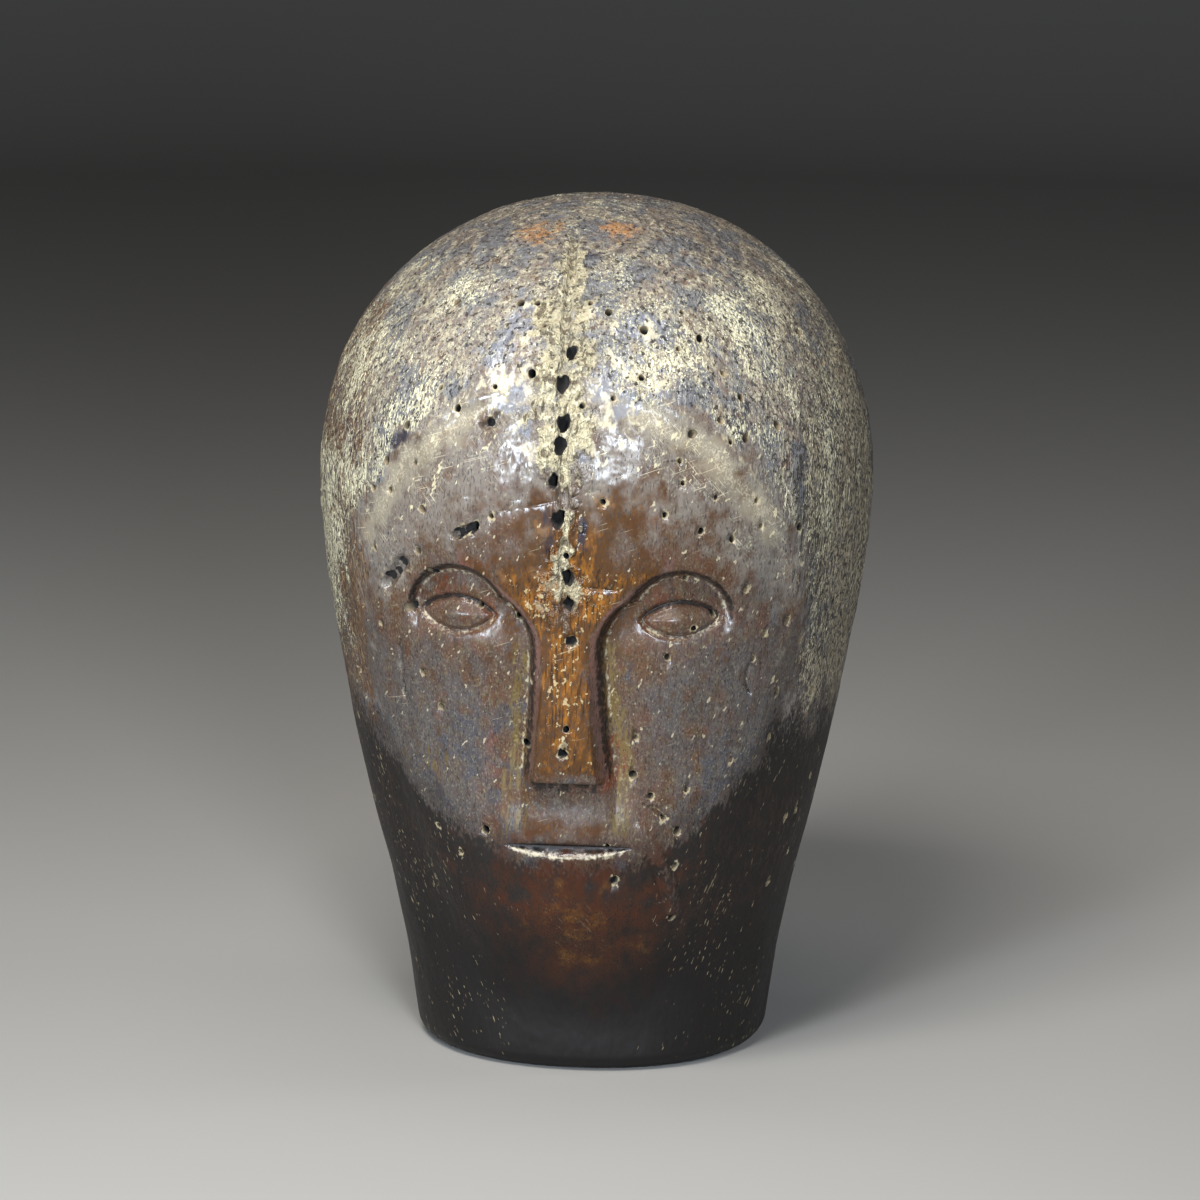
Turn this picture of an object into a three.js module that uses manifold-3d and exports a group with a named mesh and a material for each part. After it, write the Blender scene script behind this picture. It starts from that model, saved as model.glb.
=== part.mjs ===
// A carved wooden head, cut from one block of hardwood: a smooth domed skull that narrows to a neck
// sawn flat below, with a face in low relief on the front and an old split up the forehead.
// Millimetres, +Z up, the face looks along -Y. The origin is the middle of the flat underside.

import * as THREE from 'three';
import Module from 'manifold-3d';
import { mergeVertices } from 'three/addons/utils/BufferGeometryUtils.js';

const wasm = await Module();
wasm.setup();

// Driving sizes
const HEIGHT = 240; // underside to crown
const SKULL_WIDTH = 155; // side to side at the widest
const SKULL_DEPTH = 166; // forehead to back of the skull
const NECK_WIDTH = 98; // side to side at the underside
const NECK_DEPTH = 94; // front to back at the underside
const FOOT_ROUNDING = 5; // worn edge round the underside
const CARVING_DEPTH = 6; // step under the brow arches and beside the nose
const NOSE_RISE = 5; // nose tip above the cheeks
const GROOVE_WIDTH = 2.4; // knife line round each eye
const GROOVE_DEPTH = 1.8;
const MOUTH_DEPTH = 3.4;
const MOUTH_GAPE = 4.4; // height of the slit at its middle
const CAP_HALF_WIDTH = 60; // oval edge of the cap of hair, about the middle of the eye line
const CAP_HALF_HEIGHT = 64;
const CAP_RISE = 1.3; // cap of hair above the forehead
const SPLIT_WIDTH = 3.4; // drying split up the forehead
const SPLIT_DEPTH = 1.4;
const PIT_WIDTH = 3.6; // rotted pits along the split
const PIT_DEPTH = 5;
const WIDEST_SHARE = 0.69; // height of the widest place, as a share of the whole
const DOME_FULLNESS = 2.1; // exponent of the dome, a little fuller than a ball
const FRONT_SQUARENESS = 2.12; // exponent of the section, a little flatter in front than an ellipse

// Heights on the face, by the usual rules of drawing: the eyes halfway from chin to crown, the nose ending
// halfway from brow to chin, the mouth a third of the way from there to the chin, the head five eyes wide.
const CHIN = HEIGHT / 8;
const EYE_LINE = (HEIGHT + CHIN) / 2;
const EYE_UNIT = (2 * reachAt(EYE_LINE, 'side')) / 5;
const BROW = EYE_LINE + EYE_UNIT / 2;
const NOSE_BASE = (BROW + CHIN) / 2;
const MOUTH = NOSE_BASE - (NOSE_BASE - CHIN) / 3;

const EYE_HALF_LENGTH = EYE_UNIT / 3;
const EYE_HALF_HEIGHT = EYE_UNIT * 0.155;
const BROW_RADIUS = EYE_UNIT / 2;
const NOSE_ROOT_HALF = EYE_UNIT / 4;
const NOSE_WING_HALF = EYE_UNIT / 3;
const MOUTH_HALF_LENGTH = EYE_UNIT * 0.6;

// Rise of the softer forms of the face
const LIPS_RISE = 2;
const LIP_HOLLOW = 1.8; // under the nose
const CHIN_RISE = 2.4;
const THROAT_FALL = 4; // below the jaw

// How far the block has swelled from the neck (0) to the skull (1), at shares of the height, on each side
function swellStations(direction) {
  if (direction === 'side') {
    return [[0, 0], [0.05, 0.06], [0.12, 0.15], [0.19, 0.27], [0.26, 0.42], [0.33, 0.565],
      [0.41, 0.7], [0.5, 0.835], [0.58, 0.94], [0.675, 1]];
  }
  if (direction === 'front') {
    return [[0, 0], [0.06, 0.07], [0.125, 0.2], [0.19, 0.37], [0.25, 0.5], [0.34, 0.63],
      [0.45, 0.755], [0.58, 0.89], [0.71, 1]];
  }
  return [[0, 0], [0.08, 0.03], [0.18, 0.15], [0.29, 0.4], [0.4, 0.69], [0.51, 0.88], [0.69, 1]];
}

// A smooth curve through the stations, with no slope where the skull is widest
function swellAt(share, stations) {
  const last = stations.length - 1;
  const slope = (i) => (i === last ? 0
    : (stations[i + 1][1] - stations[Math.max(i - 1, 0)][1])
      / (stations[i + 1][0] - stations[Math.max(i - 1, 0)][0]));
  const i = Math.max(0, stations.findIndex((station) => station[0] >= share) - 1);
  const [x0, y0] = stations[i];
  const [x1, y1] = stations[i + 1];
  const span = x1 - x0;
  const t = (share - x0) / span;
  return y0 * (1 + 2 * t) * (1 - t) ** 2 + slope(i) * span * t * (1 - t) ** 2
    + y1 * t * t * (3 - 2 * t) + slope(i + 1) * span * t * t * (t - 1);
}

// Distance from the middle of the block to its side, front or back, at a height
function reachAt(height, direction) {
  const skull = (direction === 'side' ? SKULL_WIDTH : SKULL_DEPTH) / 2;
  const neck = (direction === 'side' ? NECK_WIDTH : NECK_DEPTH) / 2;
  const stations = swellStations(direction);
  const widest = stations[stations.length - 1][0] * HEIGHT;
  if (height <= widest) {
    return neck + (skull - neck) * swellAt(height / HEIGHT, stations);
  }
  const up = Math.min(1, (height - widest) / (HEIGHT - widest));
  return skull * (1 - up ** DOME_FULLNESS) ** (1 / DOME_FULLNESS);
}

function smooth(from, to, value) {
  const t = Math.min(1, Math.max(0, (value - from) / (to - from)));
  return t * t * (3 - 2 * t);
}

function mound(value, middle, spread) {
  return Math.exp(-(((value - middle) / spread) ** 2));
}

// The edge of the nose, which runs up into the inner end of the brow arch
function noseEdge(height) {
  const root = EYE_LINE - EYE_UNIT * 0.27;
  if (height < root) {
    const down = (root - height) / (root - NOSE_BASE);
    return NOSE_ROOT_HALF + (NOSE_WING_HALF - NOSE_ROOT_HALF) * Math.min(1, down) ** 1.5;
  }
  const flare = 1.15; // how fast it turns outwards above the root
  return NOSE_ROOT_HALF + (height - root) ** 2 * (flare / EYE_UNIT);
}

// The eye sockets: a step just inside the brow arch, which runs on down the side of the nose as one line and
// fades into the cheek
function socketDepth(side, height) {
  const wall = CARVING_DEPTH * 0.6;
  const inArch = BROW_RADIUS - Math.hypot(side - EYE_UNIT, height - EYE_LINE);
  const fromNose = side - noseEdge(height);
  const pastJoin = Math.max(0, height - EYE_LINE - EYE_UNIT * 0.15) + Math.max(0, side - EYE_UNIT);
  const inSocket = Math.max(inArch, Math.min(fromNose, wall * 2) - 4 * pastJoin);
  const arch = smooth(0, wall, inSocket) * Math.exp(-Math.max(0, inArch) / (EYE_UNIT * 0.62))
    * smooth(EYE_LINE - EYE_UNIT * 0.3, EYE_LINE + EYE_UNIT * 0.2, height);
  const beside = smooth(0, wall, fromNose) * Math.exp(-Math.max(0, fromNose) / (EYE_UNIT * 0.42))
    * (1 - smooth(EYE_LINE, EYE_LINE + EYE_UNIT * 0.4, height))
    * smooth(NOSE_BASE - EYE_UNIT * 0.65, NOSE_BASE + EYE_UNIT * 0.35, height);
  return CARVING_DEPTH * (1 - (1 - arch) * (1 - beside));
}

// The nose: a flat-topped bar that rises towards its tip and ends in a straight cut
function noseHeight(side, height) {
  const rise = smooth(EYE_LINE + EYE_UNIT * 0.3, NOSE_BASE, height);
  const edge = noseEdge(height);
  return NOSE_RISE * rise * (1 - smooth(edge - 2, edge + 1, side))
    * smooth(NOSE_BASE - 1.5, NOSE_BASE, height);
}

// Lips, chin, the hollow under the nose and the throat that falls back below the jaw
function lowerFace(side, height) {
  const lips = LIPS_RISE * mound(side, 0, EYE_UNIT * 0.75) * mound(height, MOUTH, EYE_UNIT * 0.35);
  const hollow = LIP_HOLLOW * mound(side, 0, NOSE_WING_HALF * 1.1)
    * mound(height, NOSE_BASE - EYE_UNIT * 0.22, EYE_UNIT * 0.17);
  const chin = CHIN_RISE * mound(side, 0, EYE_UNIT * 0.7)
    * mound(height, (MOUTH + CHIN) / 2, EYE_UNIT * 0.4);
  const jawLine = CHIN + (EYE_LINE - CHIN) * (side / (2 * EYE_UNIT)) ** 2.2;
  const throat = THROAT_FALL * smooth(0, EYE_UNIT * 0.7, jawLine - height)
    * smooth(0, EYE_UNIT * 1.5, height);
  return lips - hollow + chin - throat;
}

// The edge of the cap of hair, an oval round the face that stands a little proud of it
function capEdge(side, height) {
  const share = Math.hypot(side / CAP_HALF_WIDTH, (height - EYE_LINE) / CAP_HALF_HEIGHT);
  const outside = (share - 1) * CAP_HALF_WIDTH;
  return CAP_RISE * smooth(-2, 2, outside) * Math.exp(-Math.max(0, outside) / EYE_UNIT)
    * smooth(EYE_LINE - EYE_UNIT, EYE_LINE, height);
}

// The drying split, from near the crown to between the eyes
function splitDepth(side, height) {
  return SPLIT_DEPTH * (1 - smooth(SPLIT_WIDTH * 0.2, SPLIT_WIDTH * 0.7, side))
    * smooth(EYE_LINE - EYE_UNIT * 0.3, BROW, height) * (1 - smooth(HEIGHT * 0.95, HEIGHT * 0.99, height));
}

// The front surface at a place on the face: how far it lies from the middle of the block, along Y
function frontAt(x, height) {
  const side = Math.abs(x);
  const across = Math.min(1, side / reachAt(height, 'side'));
  const block = reachAt(height, 'front') * (1 - across ** FRONT_SQUARENESS) ** (1 / FRONT_SQUARENESS);
  const carved = noseHeight(side, height) + lowerFace(side, height) + capEdge(side, height)
    - socketDepth(side, height) - splitDepth(side, height);
  return -block - carved * smooth(0.95, 0.7, across);
}

function backAt(x, height) {
  const across = Math.min(1, Math.abs(x) / reachAt(height, 'side'));
  return reachAt(height, 'back') * Math.sqrt(1 - across ** 2);
}

// Shares of the half-width where columns of points stand, packed closer over the face
function frontColumns() {
  const onFace = 17; // columns on each half of the face
  const onTemple = 5; // and from there to the widest place
  const faceAngle = Math.PI * 0.21;
  const angles = Array.from({ length: onFace + onTemple + 1 }, (_, i) => (i <= onFace
    ? (faceAngle * i) / onFace
    : faceAngle + ((Math.PI / 2 - faceAngle) * (i - onFace)) / onTemple));
  const right = angles.map(Math.sin);
  return [...right.slice(1).reverse().map((share) => -share), ...right];
}

function backColumns() {
  const count = 19;
  return Array.from({ length: count }, (_, i) => Math.cos((Math.PI * (i + 1)) / (count + 1)));
}

// Heights of the rings of points: the rounded foot, the throat, the face packed closer, and the dome
function ringHeights() {
  const widest = HEIGHT * WIDEST_SHARE;
  const even = (from, to, count) => Array.from({ length: count }, (_, i) => from + ((to - from) * i) / count);
  const foot = [0, 0.1, 0.35, 1].map((share) => share * FOOT_ROUNDING);
  const throat = even(FOOT_ROUNDING * 1.8, CHIN, 4);
  const chin = even(CHIN, MOUTH, 11);
  const lip = even(MOUTH, NOSE_BASE - 1.5, 6);
  const face = even(NOSE_BASE, BROW + 3, 25);
  const forehead = even(BROW + 5, widest, 3);
  const domeSteps = 12;
  const dome = Array.from({ length: domeSteps },
    (_, i) => widest + (HEIGHT - widest) * Math.sin((Math.PI / 2) * (i / domeSteps)));
  return [...foot, ...throat, ...chin, ...lip, NOSE_BASE - 1.5, ...face, ...forehead, ...dome];
}

// One ring of points round the block, pulled in at the foot where its edge is rounded
function ring(height) {
  const over = Math.max(0, FOOT_ROUNDING - height);
  const inset = FOOT_ROUNDING - Math.sqrt(FOOT_ROUNDING ** 2 - over ** 2);
  const side = reachAt(height, 'side');
  const place = (share, surface) => {
    const x = share * side;
    const point = new THREE.Vector3(x, surface(x, height), height);
    const pull = 1 - inset / Math.hypot(point.x, point.y);
    return new THREE.Vector3(point.x * pull, point.y * pull, height);
  };
  return [...frontColumns().map((share) => place(share, frontAt)),
    ...backColumns().map((share) => place(share, backAt))];
}

// A closed surface over rings of the same number of points, with a single point at each end
function closedSurface(rings, start, end) {
  const count = rings[0].length;
  const points = [...rings.flat(), start, end];
  const at = (row, column) => row * count + (column % count);
  const triangles = [];
  for (let row = 0; row + 1 < rings.length; row += 1) {
    for (let column = 0; column < count; column += 1) {
      const [a, b] = [at(row, column), at(row, column + 1)];
      const [c, d] = [at(row + 1, column + 1), at(row + 1, column)];
      triangles.push([a, b, c], [a, c, d]);
    }
  }
  for (let column = 0; column < count; column += 1) {
    triangles.push([points.length - 2, at(0, column + 1), at(0, column)]);
    triangles.push([points.length - 1, at(rings.length - 1, column), at(rings.length - 1, column + 1)]);
  }
  const geometry = new THREE.BufferGeometry().setFromPoints(points);
  geometry.setIndex(triangles.flat());
  return geometry;
}

// The almond of an eye, or the lens of the mouth: a point at an angle on an outline with pointed ends
function lensPoint(centreX, centreHeight, halfLength, halfHeight, angle) {
  return [centreX + halfLength * Math.cos(angle),
    centreHeight + halfHeight * Math.sin(angle) * Math.abs(Math.sin(angle)) ** 0.6];
}

// The knife line round one eye: a ring of V section that follows the surface
function eyeLineCutter(eyeX) {
  const steps = 28;
  const half = GROOVE_WIDTH / 2;
  const outline = (grow, angle) => lensPoint(eyeX, EYE_LINE, EYE_HALF_LENGTH + grow * 1.3,
    EYE_HALF_HEIGHT + grow, angle);
  const corner = ([x, height], out) => [x, frontAt(x, height) - out, height];
  const points = [];
  for (let i = 0; i < steps; i += 1) {
    const angle = (2 * Math.PI * i) / steps;
    points.push(corner(outline(half, angle), 1), corner(outline(-half, angle), 1),
      corner(outline(0, angle), -GROOVE_DEPTH));
  }
  const triangles = [];
  for (let i = 0; i < steps; i += 1) {
    const next = (i + 1) % steps;
    for (let k = 0; k < 3; k += 1) {
      const [a, b] = [i * 3 + k, i * 3 + ((k + 1) % 3)];
      const [c, d] = [next * 3 + ((k + 1) % 3), next * 3 + k];
      triangles.push([a, c, b], [a, d, c]);
    }
  }
  const geometry = new THREE.BufferGeometry().setFromPoints(points.map((p) => new THREE.Vector3(...p)));
  geometry.setIndex(triangles.flat());
  return geometry;
}

// The slit of the mouth: a wedge with its edge inside the wood, pointed at both corners
function mouthCutter() {
  const steps = 14;
  const sections = [];
  for (let i = 1; i < steps; i += 1) {
    const x = -MOUTH_HALF_LENGTH * Math.cos((Math.PI * i) / steps);
    const open = (1 - (x / MOUTH_HALF_LENGTH) ** 2);
    const upper = MOUTH + MOUTH_GAPE * 0.35 * open;
    const lower = MOUTH - MOUTH_GAPE * 0.65 * open;
    sections.push([new THREE.Vector3(x, frontAt(x, upper) - 1, upper),
      new THREE.Vector3(x, frontAt(x, lower) - 1, lower),
      new THREE.Vector3(x, frontAt(x, MOUTH) + MOUTH_DEPTH * Math.sqrt(open), MOUTH)]);
  }
  const corner = (x) => new THREE.Vector3(x, frontAt(x, MOUTH) - 0.5, MOUTH);
  return closedSurface(sections, corner(-MOUTH_HALF_LENGTH), corner(MOUTH_HALF_LENGTH));
}

// Pits where the split has rotted, each a blunt cone driven straight in, at shares of the head's height
function pitCutters() {
  return [0.57, 0.62, 0.66, 0.73, 0.785, 0.82, 0.87].map((share, i) => {
    const wobble = (i % 2 === 0 ? 1 : -1) * SPLIT_WIDTH * 0.15;
    const pit = new THREE.CylinderGeometry(PIT_WIDTH * 0.35, PIT_WIDTH * 0.55, PIT_DEPTH * 2, 8);
    pit.translate(wobble, frontAt(wobble, share * HEIGHT), share * HEIGHT);
    return pit;
  });
}

// A closed geometry as a solid that can be joined and cut
function toSolid(geometry) {
  geometry.deleteAttribute('normal');
  geometry.deleteAttribute('uv');
  const merged = mergeVertices(geometry, 1e-4);
  const solid = new wasm.Manifold(new wasm.Mesh({
    numProp: 3,
    vertProperties: new Float32Array(merged.attributes.position.array),
    triVerts: new Uint32Array(merged.index.array),
  }));
  if (solid.volume() <= 0) throw new Error('a cutter or the block is inside out');
  return solid;
}

function toGeometry(solid) {
  const mesh = solid.getMesh();
  const geometry = new THREE.BufferGeometry();
  geometry.setAttribute('position', new THREE.BufferAttribute(new Float32Array(mesh.vertProperties), 3));
  geometry.setIndex(new THREE.BufferAttribute(new Uint32Array(mesh.triVerts), 1));
  geometry.computeVertexNormals();
  return geometry;
}

const underside = new THREE.Vector3(0, 0, 0);
const crown = new THREE.Vector3(0, 0, HEIGHT);
const block = closedSurface(ringHeights().map(ring), underside, crown);
const cutters = [eyeLineCutter(EYE_UNIT), eyeLineCutter(-EYE_UNIT), mouthCutter(), ...pitCutters()];
const carved = cutters.reduce((solid, cutter) => solid.subtract(toSolid(cutter)), toSolid(block));

const hardwood = new THREE.MeshStandardMaterial({ color: '#4a3326', roughness: 0.5, metalness: 0 });
const head = new THREE.Mesh(toGeometry(carved), hardwood);
head.name = 'carved_head';

const sculpture = new THREE.Group();
sculpture.add(head);

export default sculpture;
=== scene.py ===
"""A carved wooden head, very old and worn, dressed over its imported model.

The head is one surface: rings of points up a block of hardwood, with the face, the drying split, the wear
and the growth rings worked out on them as depths below or heights above the block. Beetle bores are then
cut out of it. Lengths are in metres, +Z is up and the face looks along -Y.
"""

import bpy
import numpy as np
from mathutils import Matrix, Vector


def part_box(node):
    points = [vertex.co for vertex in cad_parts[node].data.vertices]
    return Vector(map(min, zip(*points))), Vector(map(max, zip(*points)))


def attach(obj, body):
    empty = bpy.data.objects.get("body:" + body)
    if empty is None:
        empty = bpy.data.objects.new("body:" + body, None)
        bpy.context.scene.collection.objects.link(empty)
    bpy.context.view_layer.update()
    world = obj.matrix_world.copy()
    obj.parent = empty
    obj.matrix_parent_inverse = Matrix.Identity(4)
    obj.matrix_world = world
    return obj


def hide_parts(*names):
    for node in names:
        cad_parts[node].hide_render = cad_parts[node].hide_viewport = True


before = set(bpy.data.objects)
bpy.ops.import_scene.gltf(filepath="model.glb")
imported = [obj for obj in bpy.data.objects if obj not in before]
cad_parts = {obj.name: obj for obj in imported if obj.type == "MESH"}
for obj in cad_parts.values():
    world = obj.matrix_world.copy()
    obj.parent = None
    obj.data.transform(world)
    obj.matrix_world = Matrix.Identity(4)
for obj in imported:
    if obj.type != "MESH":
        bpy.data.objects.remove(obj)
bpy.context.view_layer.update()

MM = 0.001
NODE = "carved_head"

# The block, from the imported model
BLOCK_LOW, BLOCK_HIGH = (np.array(corner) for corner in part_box(NODE))
HEIGHT = BLOCK_HIGH[2]
SKULL_WIDTH = BLOCK_HIGH[0] - BLOCK_LOW[0]
SKULL_DEPTH = 2 * BLOCK_HIGH[1]
NECK_WIDTH = 98 * MM
NECK_DEPTH = 94 * MM
FOOT_ROUNDING = 5 * MM
DOME_FULLNESS = 2.1  # exponent of the dome, a little fuller than a ball
FRONT_SQUARENESS = 2.12  # exponent of the section in front, a little flatter than an ellipse

# How far the block has swelled from the neck (0) to the skull (1), at shares of the height
SIDE_SWELL = [(0, 0), (0.05, 0.06), (0.12, 0.15), (0.19, 0.27), (0.26, 0.42), (0.33, 0.565),
              (0.41, 0.7), (0.5, 0.835), (0.58, 0.94), (0.675, 1)]
FRONT_SWELL = [(0, 0), (0.06, 0.07), (0.125, 0.2), (0.19, 0.37), (0.25, 0.5), (0.34, 0.63),
               (0.45, 0.755), (0.58, 0.89), (0.71, 1)]
BACK_SWELL = [(0, 0), (0.08, 0.03), (0.18, 0.15), (0.29, 0.4), (0.4, 0.69), (0.51, 0.88), (0.69, 1)]

# The photograph's view, in its 1200 x 1200 frame
FRAME_PIXELS = 1200
CAMERA_AZIMUTH = np.radians(6)
CAMERA_ELEVATION = np.radians(12)
CAMERA_ROLL = np.radians(0.5)
CAMERA_DISTANCE = 1.5
CAMERA_TARGET = np.array([1.2 * MM, 0, 124.9 * MM])
CAMERA_LENS = 159  # millimetres, on a sensor 36 wide
CAMERA_SENSOR = 36


def smooth(start, end, value):
    """Rises from 0 at start to 1 at end, with no slope at either."""
    t = np.clip((value - start) / (end - start), 0, 1)
    return t * t * (3 - 2 * t)


def mound(value, middle, spread):
    """A bell, 1 at its middle."""
    return np.exp(-(((value - middle) / spread) ** 2))


def swell(share, stations):
    """A curve through the stations in cubic pieces. Its slope at a station is that of the line between the
    two beside it, and nought at the last, where the skull is widest."""
    at, value = np.array(stations, float).T
    slope = np.zeros(len(at))
    slope[0] = (value[1] - value[0]) / (at[1] - at[0])
    slope[1:-1] = (value[2:] - value[:-2]) / (at[2:] - at[:-2])
    i = np.clip(np.searchsorted(at, share) - 1, 0, len(at) - 2)
    span = at[i + 1] - at[i]
    t = (share - at[i]) / span
    return (value[i] * (1 + 2 * t) * (1 - t) ** 2 + slope[i] * span * t * (1 - t) ** 2
            + value[i + 1] * t * t * (3 - 2 * t) + slope[i + 1] * span * t * t * (t - 1))


def reach(height, neck, skull, stations):
    """From the middle of the block to its side: the swell from neck to skull, then a dome in which the sum of
    the shares of reach and rise, each to the power of the fullness, is one."""
    widest = stations[-1][0] * HEIGHT
    below = neck + (skull - neck) * swell(np.minimum(height, widest) / HEIGHT, stations)
    rise = np.clip((height - widest) / (HEIGHT - widest), 0, 1)
    return np.where(height <= widest, below, skull * (1 - rise ** DOME_FULLNESS) ** (1 / DOME_FULLNESS))


def side_reach(height):
    """From the middle of the block to either side."""
    return reach(height, NECK_WIDTH / 2, SKULL_WIDTH / 2, SIDE_SWELL)


def front_reach(height):
    """From the middle of the block to its front."""
    return reach(height, NECK_DEPTH / 2, SKULL_DEPTH / 2, FRONT_SWELL)


def back_reach(height):
    """From the middle of the block to its back."""
    return reach(height, NECK_DEPTH / 2, SKULL_DEPTH / 2, BACK_SWELL)


# Heights on the face, by the usual rules of drawing: the eyes halfway from chin to crown, the nose ending
# halfway from brow to chin, the mouth a third of the way from there to the chin, and the head five eyes
# wide.
CHIN = HEIGHT / 8
EYE_LINE = (HEIGHT + CHIN) / 2
EYE_UNIT = 2 * float(side_reach(EYE_LINE)) / 5
BROW = EYE_LINE + EYE_UNIT / 2
NOSE_BASE = (BROW + CHIN) / 2
MOUTH = NOSE_BASE - (NOSE_BASE - CHIN) / 3
EYE_HALF_LENGTH = EYE_UNIT / 3
EYE_HALF_HEIGHT = EYE_UNIT * 0.155
BROW_RADIUS = EYE_UNIT / 2
NOSE_ROOT_HALF = EYE_UNIT / 4
NOSE_WING_HALF = EYE_UNIT / 3
MOUTH_HALF_LENGTH = EYE_UNIT * 0.6

CARVING_DEPTH = 6 * MM  # step under the brow arches and beside the nose
NOSE_RISE = 5 * MM
GROOVE_WIDTH = 2.4 * MM
GROOVE_DEPTH = 1.8 * MM
MOUTH_DEPTH = 3.4 * MM
MOUTH_GAPE = 4.4 * MM
CAP_HALF_WIDTH = 60 * MM  # oval inside the edge of the cap of hair
CAP_HALF_HEIGHT = 64 * MM
CAP_RISE = 1.3 * MM

# The drying split, which leans a little off the middle of the forehead
SPLIT_WIDTH = 3.4 * MM
SPLIT_DEPTH = 1.6 * MM
SPLIT_MIDDLE = np.array([-0.5 * MM, 175 * MM])
SPLIT_LEAN = -0.034
PITH = np.array([-2 * MM, -30 * MM])  # the heart of the trunk, which the growth rings go round
RING_SPACING = 4.2 * MM


def hashed(cell, seed):
    """A steady random number from 0 to 1 for each whole-number cell: its coordinates times large odd
    numbers, with the bits stirred twice."""
    i, j, k = np.moveaxis(cell.astype(np.int64).astype(np.uint32), -1, 0)
    mixed = (i * np.uint32(73856093)) ^ (j * np.uint32(19349663)) ^ (k * np.uint32(83492791))
    mixed = mixed ^ np.uint32((seed * 2654435761) % 2 ** 32)
    mixed = (mixed ^ (mixed >> np.uint32(15))) * np.uint32(2246822519)
    mixed = (mixed ^ (mixed >> np.uint32(13))) * np.uint32(3266489917)
    return (mixed >> np.uint32(8)) / 2 ** 24


def noise(points, size, seed):
    """Smooth random values from -1 to 1: a random number at each corner of a lattice whose cells have the
    given size, one number or one for each axis, blended across a cell by a cubic."""
    place = points / size
    cell = np.floor(place)
    t = place - cell
    t = t * t * (3 - 2 * t)
    total = 0
    for corner in range(8):
        step = np.array([corner & 1, corner >> 1 & 1, corner >> 2 & 1])
        weight = np.prod(np.where(step, t, 1 - t), axis=-1)
        total = total + weight * hashed(cell + step, seed)
    return 2 * total - 1


def clouds(points, seed, *layers):
    """Smooth random values round nought: layers of noise, each given as its strength and its grain in
    millimetres, stretched upwards by half as much again."""
    total = 0
    for number, (strength, grain) in enumerate(layers):
        total = total + strength * noise(points, np.array([1, 1, 1.5]) * grain * MM, seed + number)
    return total


def front_section(share):
    """How deep the front is at a share of its half width: both shares, each to the power of the squareness,
    add up to one."""
    return (1 - share ** FRONT_SQUARENESS) ** (1 / FRONT_SQUARENESS)


def block_surface(angle, height):
    """The bare block. Along a ring, angle 0 faces front and a quarter turn is the +X side. The front half
    is a little squarer than an ellipse, and the foot is pulled in where its edge is worn round."""
    across = np.sin(angle)
    depth = np.where(np.cos(angle) > 0, -front_reach(height) * front_section(np.abs(across)),
                     back_reach(height) * np.abs(np.cos(angle)))
    x = side_reach(height) * across
    over = np.maximum(0, FOOT_ROUNDING - height)
    inset = FOOT_ROUNDING - np.sqrt(FOOT_ROUNDING ** 2 - over ** 2)
    pull = 1 - inset / np.maximum(np.hypot(x, depth), FOOT_ROUNDING)
    return np.stack([x * pull, depth * pull, height], axis=-1)


def front_of_block(x, height):
    """Y of the bare front surface, and far behind where there is no block."""
    side = side_reach(np.clip(height, 0, HEIGHT))
    share = np.abs(x) / np.maximum(side, MM)
    inside = (share < 1) & (height < HEIGHT) & (height > 0)
    depth = front_reach(np.clip(height, 0, HEIGHT)) * front_section(np.minimum(share, 1))
    return np.where(inside, -depth, 1.0)


def camera_axes():
    """Right, up and back of the camera, rolled so that its picture turns clockwise."""
    back = np.array([np.sin(CAMERA_AZIMUTH) * np.cos(CAMERA_ELEVATION),
                     -np.cos(CAMERA_AZIMUTH) * np.cos(CAMERA_ELEVATION), np.sin(CAMERA_ELEVATION)])
    right = np.array([np.cos(CAMERA_AZIMUTH), np.sin(CAMERA_AZIMUTH), 0])
    up = np.cross(back, right)
    cos_roll, sin_roll = np.cos(CAMERA_ROLL), np.sin(CAMERA_ROLL)
    return cos_roll * right + sin_roll * up, cos_roll * up - sin_roll * right, back


def seen_at(pixels):
    """Where the camera's ray through each pixel of the photograph first meets the front of the block."""
    right, up, back = camera_axes()
    focal_pixels = CAMERA_LENS / CAMERA_SENSOR * FRAME_PIXELS
    offset = (np.array(pixels, float) - FRAME_PIXELS / 2) / focal_pixels
    ray = offset[:, :1] * right - offset[:, 1:] * up - back
    start = CAMERA_TARGET + CAMERA_DISTANCE * back
    along = np.linspace(CAMERA_DISTANCE - 0.15, CAMERA_DISTANCE + 0.15, 3000)[:, None, None]
    trail = start + along * ray
    inside = trail[..., 1] > front_of_block(trail[..., 0], trail[..., 2])
    return trail[inside.argmax(axis=0), np.arange(len(ray))]


def nose_edge(height):
    """Half width of the nose, which runs up into the inner end of the brow arch."""
    root = EYE_LINE - EYE_UNIT * 0.27
    down = np.clip((root - height) / (root - NOSE_BASE), 0, 1)
    below = NOSE_ROOT_HALF + (NOSE_WING_HALF - NOSE_ROOT_HALF) * down ** 1.5
    above = NOSE_ROOT_HALF + (height - root) ** 2 * (1.15 / EYE_UNIT)
    return np.where(height < root, below, above)


def in_brow_arch(side, height):
    """Distance inside the round brow arch, less than nought outside it."""
    return BROW_RADIUS - np.hypot(side - EYE_UNIT, height - EYE_LINE)


def in_socket(side, height):
    """Distance inside the one line that runs over the brow arch and on down the side of the nose."""
    past_join = np.maximum(0, height - EYE_LINE - EYE_UNIT * 0.15) + np.maximum(0, side - EYE_UNIT)
    trench = np.minimum(side - nose_edge(height), CARVING_DEPTH * 1.2) - 4 * past_join
    return np.maximum(in_brow_arch(side, height), trench)


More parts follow.
